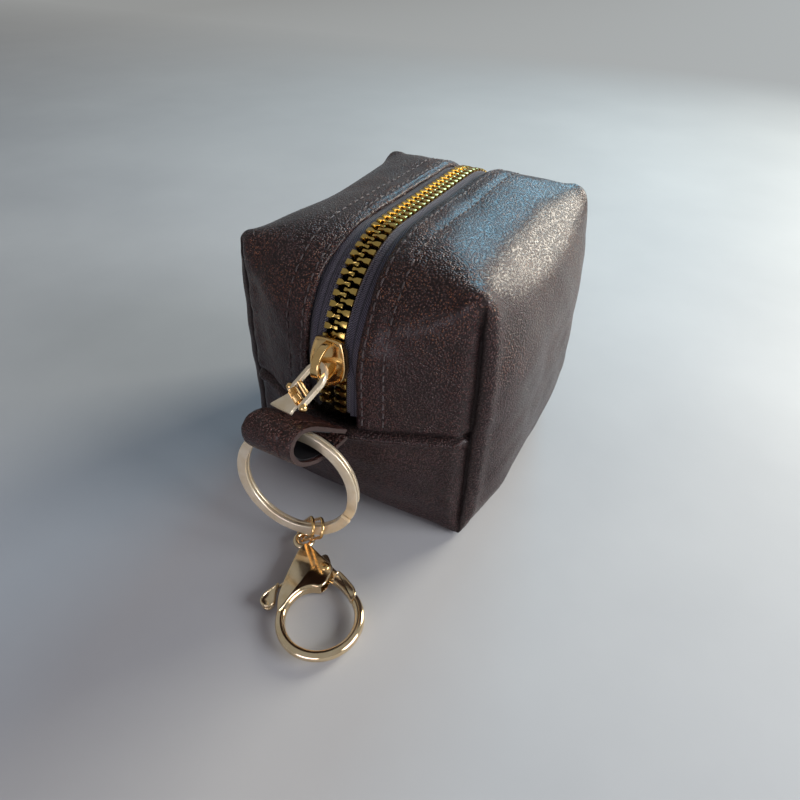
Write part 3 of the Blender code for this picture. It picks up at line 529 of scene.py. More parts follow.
@dataclass(frozen=True)
class Finish:
    """A named material, which each kind of finish lays out in its own way."""

    name: str

    def lay(self, desk: NodeDesk) -> None:
        """Lay out the nodes."""

    def material(self) -> bpy.types.Material:
        """Return the material with its nodes laid out."""
        desk = NodeDesk(self.name)
        self.lay(desk)
        return desk.material


@dataclass(frozen=True)
class LeatherFinish(Finish):
    """Grained leather: raised pebbles, fine creases, painted warm glints in patches, painted shade in the
    pebble valleys and the seams, and paler worn edges.
    """

    dark: tuple
    light: tuple
    # The glint colour, share and heights below are painted highlight: warm glints of light spotted into the
    # leather's colour, denser towards the top.
    painted_glint: tuple
    worn: tuple
    painted_glint_share: float
    pebble: float = 0.00052
    gloss: tuple = (0.27, 0.42)
    # Painted shade: how dark the pebble valleys and the seams are painted, as shares of the dark tone.
    valley_shade_share: float = 0.22
    seam_shade_share: float = 0.08
    wrinkle_depth: float = 0.00042
    pebble_depth: float = 0.00040
    fine_depth: float = 0.00007
    painted_glint_heights: tuple = (0.040, 0.072)
    cloud_scale: float = 60
    patch_scale: float = 55
    wrinkle_scale: float = 420
    worn_share: float = 0.6
    crease_dulling: float = 0.5

    def lay(self, desk: NodeDesk) -> None:
        """Lay out the nodes."""
        warp = desk.node("TexNoise", {"Vector": desk.place}, Scale=0.35 / self.pebble, Detail=2.0)
        bent = desk.node("Mix", {4: desk.place, 5: warp.outputs["Color"]}, data_type="VECTOR", Factor=0.0008)
        grain = desk.span(desk.cells(1 / self.pebble, bent.outputs[1]), 0.05, 0.62, 1, 0)
        fine = desk.noise(2.6 / self.pebble, 2.0)
        cloud = desk.noise(self.cloud_scale, 4.0)
        wrinkle = desk.noise(self.wrinkle_scale, 4.0, 0.6, desk.scaled((1, 1, 2.2), (0.4, 0.2, 0.3)))
        # The crease mask marks where painted shade darkens the seams.
        crease = desk.attribute("crease")
        tone = desk.mix(desk.span(cloud, 0.35, 0.68), self.dark, self.light)
        # Painted highlight: warm glints of light spotted into the colour in patches, more of them towards the
        # top where the light falls.
        patch = desk.span(desk.noise(self.patch_scale, 2.0), 0.42, 0.62, 0.10, self.painted_glint_share)
        height = desk.node("SeparateXYZ", {"Vector": desk.place}).outputs["Z"]
        patch = desk.join(patch, desk.span(height, *self.painted_glint_heights, 0.30, 1.0), "MULTIPLY")
        glint = desk.span(desk.noise(2.1 / self.pebble, 1.0), 0.55, 0.66)
        tone = desk.mix(desk.join(glint, patch, "MULTIPLY"), tone, self.painted_glint)
        tone = desk.mix(desk.span(desk.attribute("wear"), 0, 1, 0, self.worn_share), tone, self.worn)
        # Painted shade: the colour darkens in the valleys between the pebbles.
        tone = desk.mix(desk.span(grain, 0.10, 0.62), dimmed(self.dark, self.valley_shade_share), tone)
        # Painted shade: the colour darkens deep in the seams, following the mesh's crease mask.
        desk.feed("Base Color", desk.mix(crease, tone, dimmed(self.dark, self.seam_shade_share)))
        gloss = desk.span(desk.join(fine, cloud, "MULTIPLY"), 0.12, 0.4, *self.gloss)
        desk.feed("Roughness", desk.join(gloss, desk.span(crease, 0, 1, 0, self.crease_dulling)))
        desk.set(Coat_Weight=0.12, Coat_Roughness=0.26, Specular_IOR_Level=0.38)
        desk.set(Specular_Tint=(1.0, 0.82, 0.75, 1))
        desk.relief(
            (wrinkle, self.wrinkle_depth, 0.55), (grain, self.pebble_depth, 1.0), (fine, self.fine_depth, 0.6)
        )


@dataclass(frozen=True)
class RawEdgeFinish(Finish):
    """Cut leather: fibrous and matt, darker than the face."""

    name: str = "raw_leather_edge"
    dark: tuple = (0.014, 0.008, 0.007)
    light: tuple = (0.085, 0.046, 0.034)

    def lay(self, desk: NodeDesk) -> None:
        """Lay out the nodes."""
        fibre = desk.noise(3800, at=desk.scaled((1, 1.6, 1.6)))
        desk.feed("Base Color", desk.mix(desk.span(fibre, 0.35, 0.66), self.dark, self.light))
        desk.set(Roughness=0.85, Sheen_Weight=0.06)
        desk.relief((fibre, 0.00010, 0.8))


@dataclass(frozen=True)
class TapeFinish(Finish):
    """Herringbone tape: slanted rows of yarn that change side, on the tape's own UV map in metres."""

    name: str = "navy_tape"
    dark: tuple = (0.006, 0.006, 0.009)
    light: tuple = (0.150, 0.130, 0.180)
    rib: float = 0.00130
    yarn: float = 0.00062

    def lay(self, desk: NodeDesk) -> None:
        """Lay out the nodes."""
        parts = desk.uv()
        fold = desk.changed(parts["X"], "PINGPONG", self.rib)
        yarn = desk.wave(desk.join(fold, parts["Y"]), 1 / self.yarn)
        height = desk.join(yarn, desk.span(fold, 0, self.rib * 0.25), "MULTIPLY")
        fuzz = desk.noise(4200, 2.0)
        tone = desk.join(height, desk.span(fuzz, 0.3, 0.7, 0.45, 1.0), "MULTIPLY")
        desk.feed("Base Color", desk.mix(tone, self.dark, self.light))
        desk.set(Roughness=0.78, Sheen_Weight=0.35, Sheen_Roughness=0.4)
        desk.relief((height, 0.00020, 1.0), (fuzz, 0.00004, 0.4))


@dataclass(frozen=True)
class MetalFinish(Finish):
    """Polished plated metal: faint clouds in its polish, fine scratches and slightly uneven plating."""

    tone: Tone
    gloss: tuple = (0.07, 0.16)
    dimple: float = 0.00001
    metallic: float = 1.0
    deep: tuple = (0.86, 0.80, 0.70)
    cloud_scale: float = 260
    scratch_scale: float = 2400
    dimple_scale: float = 700

    def lay(self, desk: NodeDesk) -> None:
        """Lay out the nodes."""
        cloud = desk.noise(self.cloud_scale)
        hair = desk.noise(self.scratch_scale, 2.0, at=desk.scaled((1, 9, 1), (0.3, 0.5, 0.7)))
        deep = tuple(value * share for value, share in zip(self.tone.value, self.deep))
        desk.feed("Base Color", desk.mix(desk.span(cloud, 0.3, 0.7), deep, self.tone.value))
        desk.feed("Roughness", desk.span(desk.join(cloud, hair, "MULTIPLY"), 0.12, 0.40, *self.gloss))
        desk.set(Metallic=self.metallic)
        dimples = desk.noise(self.dimple_scale, 2.0)
        desk.relief((dimples, self.dimple * 3, 0.35), (hair, self.dimple, 0.3))


@dataclass(frozen=True)
class ThreadFinish(Finish):
    """Twisted sewing thread, on the thread's own UV map: U runs along it and V round it."""

    name: str = "dark_thread"
    dark: tuple = (0.008, 0.005, 0.005)
    light: tuple = (0.105, 0.070, 0.062)
    turns: float = 5.0
    strands: int = 2

    def lay(self, desk: NodeDesk) -> None:
        """Lay out the nodes."""
        parts = desk.uv()
        along = desk.changed(parts["X"], "MULTIPLY", self.turns)
        twist = desk.wave(desk.join(along, parts["Y"]), self.strands)
        desk.feed("Base Color", desk.mix(twist, self.dark, self.light))
        desk.set(Roughness=0.6, Sheen_Weight=0.3)
        desk.relief((twist, 0.00005, 0.8))


@dataclass(frozen=True)
class BackingFinish(Finish):
    """Thin black backing with a faint grain."""

    name: str = "black_backing"
    dark: tuple = (0.004, 0.004, 0.005)
    light: tuple = (0.020, 0.019, 0.021)

    def lay(self, desk: NodeDesk) -> None:
        """Lay out the nodes."""
        grain = desk.noise(2600)
        desk.feed("Base Color", desk.mix(desk.span(grain, 0.35, 0.7), self.dark, self.light))
        desk.feed("Roughness", desk.span(grain, 0.3, 0.7, 0.32, 0.55))
        desk.relief((grain, 0.00006, 0.5))


class Finishes:
    """The materials of the pouch, each made once."""

    def __init__(self) -> None:
        """Make every material."""
        # Each leather's glint colour and share are painted warm highlights, spotted into its colour.
        self.leather = LeatherFinish(
            name="aubergine_leather",
            dark=(0.037, 0.0140, 0.0165),
            light=(0.068, 0.0265, 0.0290),
            painted_glint=(0.560, 0.215, 0.080),
            worn=(0.110, 0.066, 0.060),
            painted_glint_share=0.75,
        ).material()
        self.strap = LeatherFinish(
            name="brown_leather",
            dark=(0.078, 0.0300, 0.0260),
            light=(0.145, 0.0560, 0.0440),
            painted_glint=(0.62, 0.250, 0.100),
            worn=(0.160, 0.080, 0.060),
            painted_glint_share=0.8,
            gloss=(0.28, 0.46),
        ).material()
        self.raw_edge = RawEdgeFinish().material()
        self.tape = TapeFinish().material()
        self.backing = BackingFinish().material()
        self.thread = ThreadFinish().material()
        self.brass = MetalFinish("brass", Tone.BRASS, (0.16, 0.30)).material()
        self.pale_gold = MetalFinish("pale_gold", Tone.PALE).material()
        self.cream_gold = MetalFinish("cream_gold", Tone.CREAM, (0.16, 0.26), metallic=0.62).material()
        self.warm_gold = MetalFinish("warm_gold", Tone.WARM, (0.08, 0.18)).material()
        self.steel = MetalFinish("spring_steel", Tone.STEEL, (0.2, 0.35)).material()


# Pouch


@dataclass
class PouchForm:
    """The soft box that the leather follows, as a function on the faces of a cube."""

    width: float = 0.068
    length: float = 0.080
    height: float = 0.0768
    side_bulge: float = 0.0075
    end_bulge: float = 0.0115
    top_bulge: float = 0.0060
    seam_height: float = 0.038
    shoulder: float = 0.031
    top_edge: float = 0.009
    base_edge: float = 0.005
    slot_half: float = 0.0070

    @staticmethod
    def swell(share: Array, power: float) -> Array:
        """Fall from 1 in the middle to 0 at either edge: (1 - s^2)^power."""
        return np.maximum(0.0, 1 - share * share) ** power

    @staticmethod
    def wall(half: Array, rise: Array, radius: Array, share: Array) -> tuple[Array, Array]:
        """Walk up a wall of the given rise and half of the rounding above it.

        Args:
            half: Distance of the wall from the middle.
            rise: Height of the wall with its rounding.
            radius: Radius of the rounding.
            share: How far the walk goes, from 0 to 1.

        Returns:
            The distance from the middle and the height there.
        """
        run = share * (rise - radius + radius * math.pi / 4)
        turn = np.maximum(run - rise + radius, 0) / np.maximum(radius, 1e-9)
        bent = (run > rise - radius) & (radius > 1e-9)
        out = np.where(bent, half - radius + radius * np.cos(turn), half)
        return out, np.where(bent, rise - radius + radius * np.sin(turn), np.minimum(run, rise))

    def surface(self, u: Array, v: Array, w: Array) -> Array:
        """Turn points on the faces of a cube from -1 to 1 into points on the leather.

        Each panel swells between its seams by (1 - s^2)^p, and the folds are round arcs whose radius
        shrinks to nothing at the corners.

        Args:
            u: Share across the pouch.
            v: Share along the pouch.
            w: Share up the pouch, with 0 at the level seams of the ends.

        Returns:
            The points, with 3 as the last size of the array.
        """
        u, v, w = np.broadcast_arrays(np.asarray(u, float), np.asarray(v, float), np.asarray(w, float))
        upper = w >= 0
        on_top = np.abs(w) >= 1
        on_end = (np.abs(v) >= 1) & ~on_top
        fullness = self.swell(u, 1.4)
        reach = self.length / 2 + np.where(upper, self.end_bulge * fullness, 0)
        top = self.height - self.seam_height + self.top_bulge * self.swell(u, 0.9)
        rise = np.where(upper, top, self.seam_height)
        shoulder = np.where(upper, self.shoulder * self.swell(u, 1.2), self.base_edge * self.swell(u, 0.5))
        edge = np.where(upper, self.top_edge * self.swell(v, 0.8), self.base_edge * self.swell(v, 0.5))
        half = np.full_like(reach, self.width / 2)
        end_out, end_up = self.wall(reach, rise, shoulder, np.abs(w))
        top_up, top_out = self.wall(rise, reach, shoulder, np.abs(v))
        along = np.where(on_end, end_out, np.where(on_top, top_out, reach * np.abs(v)))
        up = np.where(on_end, end_up, np.where(on_top, top_up, rise))
        side_out, side_up = self.wall(half, rise, edge, np.abs(w))
        lift_up, lift_out = self.wall(rise, half, edge, np.abs(u))
        on_side = (np.abs(u) >= 1) & ~on_top
        across = np.where(on_side, side_out, np.where(on_top, lift_out, half * np.abs(u)))
        up = np.where(on_side, side_up, np.where(on_top, up - (rise - lift_up), up))
        along = along + np.where(upper, 0, self.end_bulge * fullness * (1 - np.abs(w) ** 2.2) * v**4)
        across = across + np.where(np.abs(u) >= 1, self.side_bulge * (1 - v**4) * (1 - w**4), 0)
        return np.stack(
            (np.copysign(across, u), np.copysign(along, v), self.seam_height + np.copysign(up, w)), axis=-1
        )

    def over_top(self, u: Array, run: Array) -> Array:
        """Walk over the pouch: -2 and 2 are the end seams, -1 and 1 the shoulders, 0 the top."""
        u, run = np.broadcast_arrays(np.asarray(u, float), np.asarray(run, float))
        v = np.clip(run, -1, 1)
        w = np.where(np.abs(run) > 1, 2 - np.abs(run), 1.0)
        return self.surface(u, v, w)

    def over_top_normal(self, u: Array, run: Array) -> Array:
        """Return the outward direction of the leather there, from small steps both ways."""
        step = 1 / 200
        across = self.over_top(u + step, run) - self.over_top(u - step, run)
        along = self.over_top(u, np.minimum(run + step, 2)) - self.over_top(u, np.maximum(run - step, -2))
        return unit(np.cross(across, along))


@dataclass
class LeatherBody:
    """The sewn leather panel, with sunk seams, puckers, a folded edge at the zipper and sewn channels."""

    form: PouchForm
    leather: float = 0.0014
    pitch: float = 0.00105
    seam_depth: float = 0.0025
    seam_width: float = 0.0020
    lip: float = 0.0008
    stitch_rows: tuple = (0.0016, 0.0066)
    channel_depth: float = 0.00030
    channel_width: float = 0.0005
    stitch_pitch: float = 0.0029
    side_lip: tuple = (0.0032, 0.0020)
    end_lip: tuple = (0.0044, 0.0022)
    level_lip: tuple = (0.0018, 0.0012)
    upper_lip: tuple = (-0.0030, 0.0018)
    upper_seam: tuple = (0.40, 0.066)
    foot_share: float = 0.2
    foot_heights: tuple = (0.001, 0.008)
    side_share: float = 0.45
    fold_waves: tuple = ((-0.0007, 0.0, 0.0006), (0.00030, 0.0010, 0.0008), (0.00022, 0.0040, 0.0019))
    upright_gathers: tuple = (0.00007, 0.0052, 2.2, 0.012, 5)
    level_gathers: tuple = (0.00010, 0.0046, 2.0, 0.011, 7)
    gather_reach: float = 0.0045
    corner_pull: tuple = (0.00036, 0.00025)
    corner_reach: float = 0.014
    creases: float = 0.00020
    sag: float = 0.00045
    dents: float = 0.00016

    def lines(self, low: float, high: float, length: float, gather: float = 0.45) -> Array:
        """Return grid lines between two shares, closer together near both ends."""
        count = max(int(length / self.pitch), 4)
        even = np.linspace(-1, 1, count + 1)
        mixed = (1 - gather) * even + gather * np.sin(even * math.pi / 2)
        return low + (high - low) * (mixed + 1) / 2

    def mesh(self) -> bpy.types.Object:
        """Lay one grid on each face of the cube, leave the zipper's slot open, and weld them."""
        form = self.form
        slot = 2 * form.slot_half / form.width
        outer = self.lines(slot, 1, form.width / 2)
        middle = np.linspace(-slot, slot, 14)
        whole = np.concatenate((-outer[::-1], middle[1:-1], outer))
        along = self.lines(-1, 1, form.length * 1.15)
        upper = self.lines(0, 1, form.height - form.seam_height)
        lower = self.lines(-1, 0, form.seam_height)
        maker = MeshMaker("leather_body")
        for side in (-1, 1):
            u, v = np.meshgrid(side * outer, along, indexing="ij")
            maker.grid(form.surface(u, v, 1.0))
            v, w = np.meshgrid(along, np.concatenate((lower[:-1], upper)), indexing="ij")
            maker.grid(form.surface(float(side), v, w))
            for end in (-1.0, 1.0):
                u, w = np.meshgrid(side * outer, upper, indexing="ij")
                maker.grid(form.surface(u, end, w))
        for end in (-1.0, 1.0):
            u, w = np.meshgrid(whole, lower, indexing="ij")
            maker.grid(form.surface(u, end, w))
        u, v = np.meshgrid(whole, along, indexing="ij")
        maker.grid(form.surface(u, v, -1.0))
        return maker.make(60)

    def path_length(self, points: Array) -> Array:
        """Return how far along the zipper's direction a point lies, over the shoulders."""
        form = self.form
        turn_y = form.length / 2 + form.end_bulge - form.shoulder
        turn_z = form.height + form.top_bulge - form.shoulder
        y, z = np.abs(points[..., 1]), points[..., 2]
        angle = np.arctan2(np.maximum(z - turn_z, 0), np.maximum(y - turn_y, 1e-9))
        down = np.where(z < turn_z, turn_z - z, 0)
        around = np.where(y > turn_y, form.shoulder * (math.pi / 2 - angle), 0)
        return np.copysign(np.minimum(y, turn_y) + around + down, points[..., 1])

    def relief(self, points: Array, normals: Array) -> Array:
        """Return how far the leather stands out of the soft box at each point.

        It is a sum of round bumps exp(-(d / width)^2) in the distance d from each seam, fold and row of
        stitches, of ripples across the seams, and of soft noise for the sag and the creases.

        Args:
            points: Points on the soft box.
            normals: The outward direction at each.

        Returns:
            The height above the soft box in metres, below zero where it is sunk.
        """
        form = self.form
        x, z, upright, on_end, near_end = self.seams(points, normals)
        loss, start = self.upper_seam
        low_share = 1 - loss * ease(z, start, form.height)
        foot = self.foot_share + (1 - self.foot_share) * ease(z, *self.foot_heights)
        facing = self.side_share + (1 - self.side_share) * on_end
        height = -self.seam_depth * foot * low_share * bump(upright, self.seam_width) * facing
        height += self.lip * foot * (1 - on_end) * ridge(upright, *self.side_lip)
        height += self.lip * foot * 0.6 * on_end * ridge(upright, *self.end_lip)
        below = form.seam_height - z
        level = self.lip * (1.1 * ridge(below, *self.level_lip) + 0.5 * ridge(below, *self.upper_lip))
        height += near_end * (level - self.seam_depth * bump(below, 0.0008))
        over = ease(z, form.seam_height, form.seam_height + 0.002) * ease(x, 0, form.slot_half * 0.9)
        fold = x - form.slot_half
        height += over * sum(tall * ridge(fold, place, width) for tall, place, width in self.fold_waves)
        dimple = 0.75 + 0.25 * np.cos(TURN * self.path_length(points) / self.stitch_pitch)
        for row in self.stitch_rows:
            height -= over * self.channel_depth * ridge(fold, row, self.channel_width) * dimple
        gathers = self.gathers(points, z, *self.upright_gathers)
        height += gathers * bump(upright, self.gather_reach) * low_share * on_end
        gathers = self.gathers(points, points[..., 0], *self.level_gathers)
        height += gathers * near_end * bump(below, self.gather_reach)
        corner = np.hypot(upright, z - form.height)
        pull = 1 - np.minimum(np.abs(ripple(points * (1.0, 1.0, 1.6), 0.010, 11)), 1)
        rise, sink = self.corner_pull
        height += (rise * pull - sink) * bump(corner, self.corner_reach) * ease(corner, 0.0, 0.004)
        rib = 1 - np.abs(ripple(points * (0.55, 0.8, 1.7), 0.0075, 13))
        upper = ease(z, form.seam_height, form.seam_height + 0.004)
        height -= self.creases * ease(rib, 0.72, 1.0) * on_end * upper
        return height + self.sag * ripple(points, 0.034, 17) + self.dents * ripple(points, 0.013, 19)

    @staticmethod
    def gathers(
        points: Array, along: Array, depth: float, pitch: float, bend: float, scale: float, seed: int
    ) -> Array:
        """Return the gathers beside a seam: depth * sin(2 pi * along / pitch + bend * noise).

        Args:
            points: Points on the soft box.
            along: How far each lies along the seam.
            depth: Height of the gathers.
            pitch: Length of one.
            bend: How far the noise moves them.
            scale: Usual length of the noise's waves.
            seed: Number that fixes the noise.

        Returns:
            The height at each point, above and below zero.
        """
        return depth * np.sin(TURN * along / pitch + bend * ripple(points, scale, seed))

    def seams(self, points: Array, normals: Array) -> tuple[Array, Array, Array, Array, Array]:
        """Say where each point lies among the seams.

        Args:
            points: Points on the soft box.
            normals: The outward direction at each.

        Returns:
            The distance from the middle plane, the height, the distance to the nearest upright seam, how
            far the point faces an end, and how far it lies on an end, the last two from 0 to 1.
        """
        x, y, z = np.abs(points[..., 0]), np.abs(points[..., 1]), points[..., 2]
        side, end = self.form.width / 2, self.form.length / 2
        on_end = ease(np.abs(normals[..., 1]) - np.abs(normals[..., 0]), -0.35, 0.35)
        return x, z, np.hypot(x - side, y - end), on_end, ease(y, end - 0.002, end + 0.001) * on_end

    def roundness(self, points: Array, normals: Array) -> Array:
        """Say how far points are drawn to their neighbours: along the top's long edges and at corners."""
        form = self.form
        x, z, upright = self.seams(points, normals)[:3]
        edge = bump(np.hypot(x - form.width / 2, z - form.height), 0.011)
        middle = ease(form.length / 2 - np.abs(points[..., 1]), 0.001, 0.012)
        high, low = np.hypot(upright, z - form.height), np.hypot(upright, z)
        corners = 0.12 * bump(high, 0.0030) + 0.30 * bump(low, 0.0030)
        return np.clip(edge * middle + corners, 0, 1)

    def wear(self, points: Array, normals: Array) -> Array:
        """Return how worn the leather is, from 0 to 1: most on the lips beside the seams."""
        form = self.form
        x, z, upright, _, near_end = self.seams(points, normals)
        level = near_end * ridge(form.seam_height - z, 0.0018, 0.0009)
        edge = ease(z, form.seam_height, form.seam_height + 0.002) * ridge(x - form.slot_half, 0.0004, 0.0005)
        rubbed = 0.35 + 0.5 * ripple(points, 0.006, 23)
        return np.clip((level + 0.5 * ridge(upright, 0.0024, 0.0009) + 0.6 * edge) * rubbed * 1.6, 0, 1)

    def crease(self, points: Array, normals: Array) -> Array:
        """Return how deep in a seam each point is, from 0 to 1, where painted shade darkens the leather and
        it is duller.
        """
        form = self.form
        _, z, upright, _, near_end = self.seams(points, normals)
        level = near_end * bump(form.seam_height - z, 0.0006)
        return np.clip(ridge(upright, 0.0003, 0.0011) + level, 0, 1) * ease(form.height - z, 0.0005, 0.004)

    def build(self, finishes: Finishes) -> bpy.types.Object:
        """Push the welded mesh out by its relief, give it its wear, its painted seam shade and its thickness.
        """
        piece = self.mesh()
        mesh = piece.data
        points, normals = read_vertices(mesh)
        moved = points + normals * self.relief(points, normals)[:, None]
        moved = softened(moved, read_edges(mesh), self.roundness(points, normals), 70)
        moved[:, 2] = np.maximum(moved[:, 2], 0)
        mesh.vertices.foreach_set("co", moved.ravel())
        # The crease mask holds painted seam shade; the wear mask is the leather's own paler wear.
        for name, values in (("wear", self.wear(points, normals)), ("crease", self.crease(points, normals))):
            mesh.attributes.new(name, "FLOAT", "POINT").data.foreach_set("value", values.astype(np.float32))
        mesh.update()
        wall = piece.modifiers.new("wall", "SOLIDIFY")
        wall.thickness = self.leather * 0.8
        wall.offset = -1
        return seat(piece, "pouch", finishes.leather, "aubergine_leather", "main_panel")


def read_vertices(mesh: bpy.types.Mesh) -> tuple[Array, Array]:
    """Return a mesh's points and normals as arrays."""
    points = np.empty(len(mesh.vertices) * 3)
    normals = np.empty(len(mesh.vertices) * 3)
    mesh.vertices.foreach_get("co", points)
    mesh.vertices.foreach_get("normal", normals)
    return points.reshape(-1, 3), normals.reshape(-1, 3)


def read_edges(mesh: bpy.types.Mesh) -> Array:
    """Return the pairs of vertices that a mesh's edges join."""
    pairs = np.empty(len(mesh.edges) * 2, dtype=np.int32)
    mesh.edges.foreach_get("vertices", pairs)
    return pairs.reshape(-1, 2)


def softened(points: Array, edges: Array, weight: Array, rounds: int) -> Array:
    """Draw points towards the mean of their neighbours: p + weight / 2 * (mean - p), many times.

    Args:
        points: The mesh's points, (n, 3).
        edges: Pairs of neighbours, (m, 2).
        weight: How much each point moves, from 0 to 1.
        rounds: How many times.

    Returns:
        The smoothed points.
    """
    ends = np.concatenate((edges, edges[:, ::-1]))
    count = np.maximum(np.bincount(ends[:, 0], minlength=len(points)), 1)[:, None]
    for _ in range(rounds):
        sums = [np.bincount(ends[:, 0], points[ends[:, 1], axis], len(points)) for axis in range(3)]
        points = points + weight[:, None] / 2 * (np.stack(sums, axis=1) / count - points)
    return points


@dataclass
class Topstitching:
    """Rows of thread beside the zipper, each stitch a short tube that dives into the leather at both ends."""

    body: LeatherBody
    stitch: float = 0.0022
    thread: float = 0.00020
    rise: float = 0.00024

    def row(self, maker: MeshMaker, side: Side, offset: float) -> None:
        """Add one row: stitches at even steps along the leather, each lifted by rise * (1 - t^4).

        Args:
            maker: The mesh that the row is added to.
            side: Side of the zipper.
            offset: Distance from the folded edge.
        """
        form = self.body.form
        x = side.value * (form.slot_half + offset)
        u = x / (form.width / 2)
        run = np.linspace(-1.94, 1.94, 900)
        base = form.over_top(u, run)
        base[:, 0] = x
        normals = form.over_top_normal(np.full_like(run, u), run)
        line = base + normals * self.body.relief(base, normals)[:, None]
        length = lengths_along(line)
        count = int(length[-1] / self.body.stitch_pitch)
        share = np.linspace(-1, 1, 7)
        at = (np.arange(count)[:, None] + 0.5) * self.body.stitch_pitch + share[None] * self.stitch / 2
        normal = unit(read_at(at, length, normals))
        lift = self.rise * (1 - share**4) - self.thread * 0.4
        middle = read_at(at, length, line) + normal * lift[None, :, None]
        along = unit(np.gradient(middle, axis=1))
        across = unit(np.cross(along, normal))
        over = np.cross(across, along)
        turns = np.linspace(0, TURN, 8)[:, None]
        radius = self.thread * (1 - 0.75 * share**6)
        ring = np.cos(turns) * across[:, :, None] + np.sin(turns) * over[:, :, None]
        maker.grid(middle[:, :, None] + ring * radius[None, :, None, None])

    def build(self, finishes: Finishes) -> bpy.types.Object:
        """Sew every row in one piece."""
        maker = MeshMaker("topstitching")
        for side in Side:
            for offset in self.body.stitch_rows:
                self.row(maker, side, offset)
        return seat(maker.make(80), "pouch", finishes.thread, "navy_tape")


# Zipper


@dataclass
class ZipperLine:
    """The line that the teeth follow: up the front end, over the top and down the far end."""

    form: PouchForm
    inset: float = 0.0020
    start: float = 0.0425
    spread: float = 0.00145
    slider_length: float = 0.0124
    slider_run: float = 0.01436

    def __post_init__(self) -> None:
        """Work out the lengths that follow from the pouch's form."""
        self.radius = self.form.shoulder - self.inset
        self.half = self.form.length / 2 + self.form.end_bulge - self.inset
        self.top = self.form.height + self.form.top_bulge - self.inset
        self.turn_y = self.half - self.radius
        self.turn_z = self.top - self.radius
        self.upright = self.turn_z - self.start
        self.bend = self.radius * math.pi / 2
        self.length = 2 * (self.upright + self.bend + self.turn_y)

    def frames(self, run: Array) -> tuple[Array, Array, Array]:
        """Return points, directions and outward normals: straight, an arc of the shoulder, straight."""
        back = run > self.length / 2
        walk = np.where(back, self.length - run, run)
        turn = np.clip((walk - self.upright) / self.radius, 0, math.pi / 2)
        rise = np.minimum(walk, self.upright)
        flat = np.maximum(walk - self.upright - self.bend, 0)
        sign = np.where(back, -1.0, 1.0)
        y = -self.turn_y - self.radius * np.cos(turn) + flat
        z = self.start + rise + self.radius * np.sin(turn)
        zero = np.zeros_like(y)
        point = np.stack((zero, y * sign, z), axis=-1)
        along = np.stack((zero, np.sin(turn), np.cos(turn) * sign), axis=-1)
        normal = np.stack((zero, -np.cos(turn) * sign, np.sin(turn)), axis=-1)
        return point, along, normal

    def parting(self, run: Array) -> Array:
        """Say how far each row of teeth stands aside below the slider's middle."""
        below = (self.slider_run + self.slider_length * 0.12 - run) / (self.slider_length * 0.42)
        share = np.clip(below, 0, 1)
        past = np.clip((below - 1) / 1.6, 0, 1)
        return self.spread * ease(share, 0, 1) * (1 - 0.35 * past)

    def run_near(self, points: Array) -> Array:
        """Return how far along the line a point of the front half lies."""
        y, z = points[..., 1], points[..., 2]
        arc = self.upright + self.radius * np.arctan2(z - self.turn_z, np.maximum(-self.turn_y - y, 1e-9))
        bent = np.where(y < -self.turn_y, arc, self.upright + self.bend)
        run = np.where(z < self.turn_z, z - self.start, bent)
        return np.where(y > 0, self.length, run)


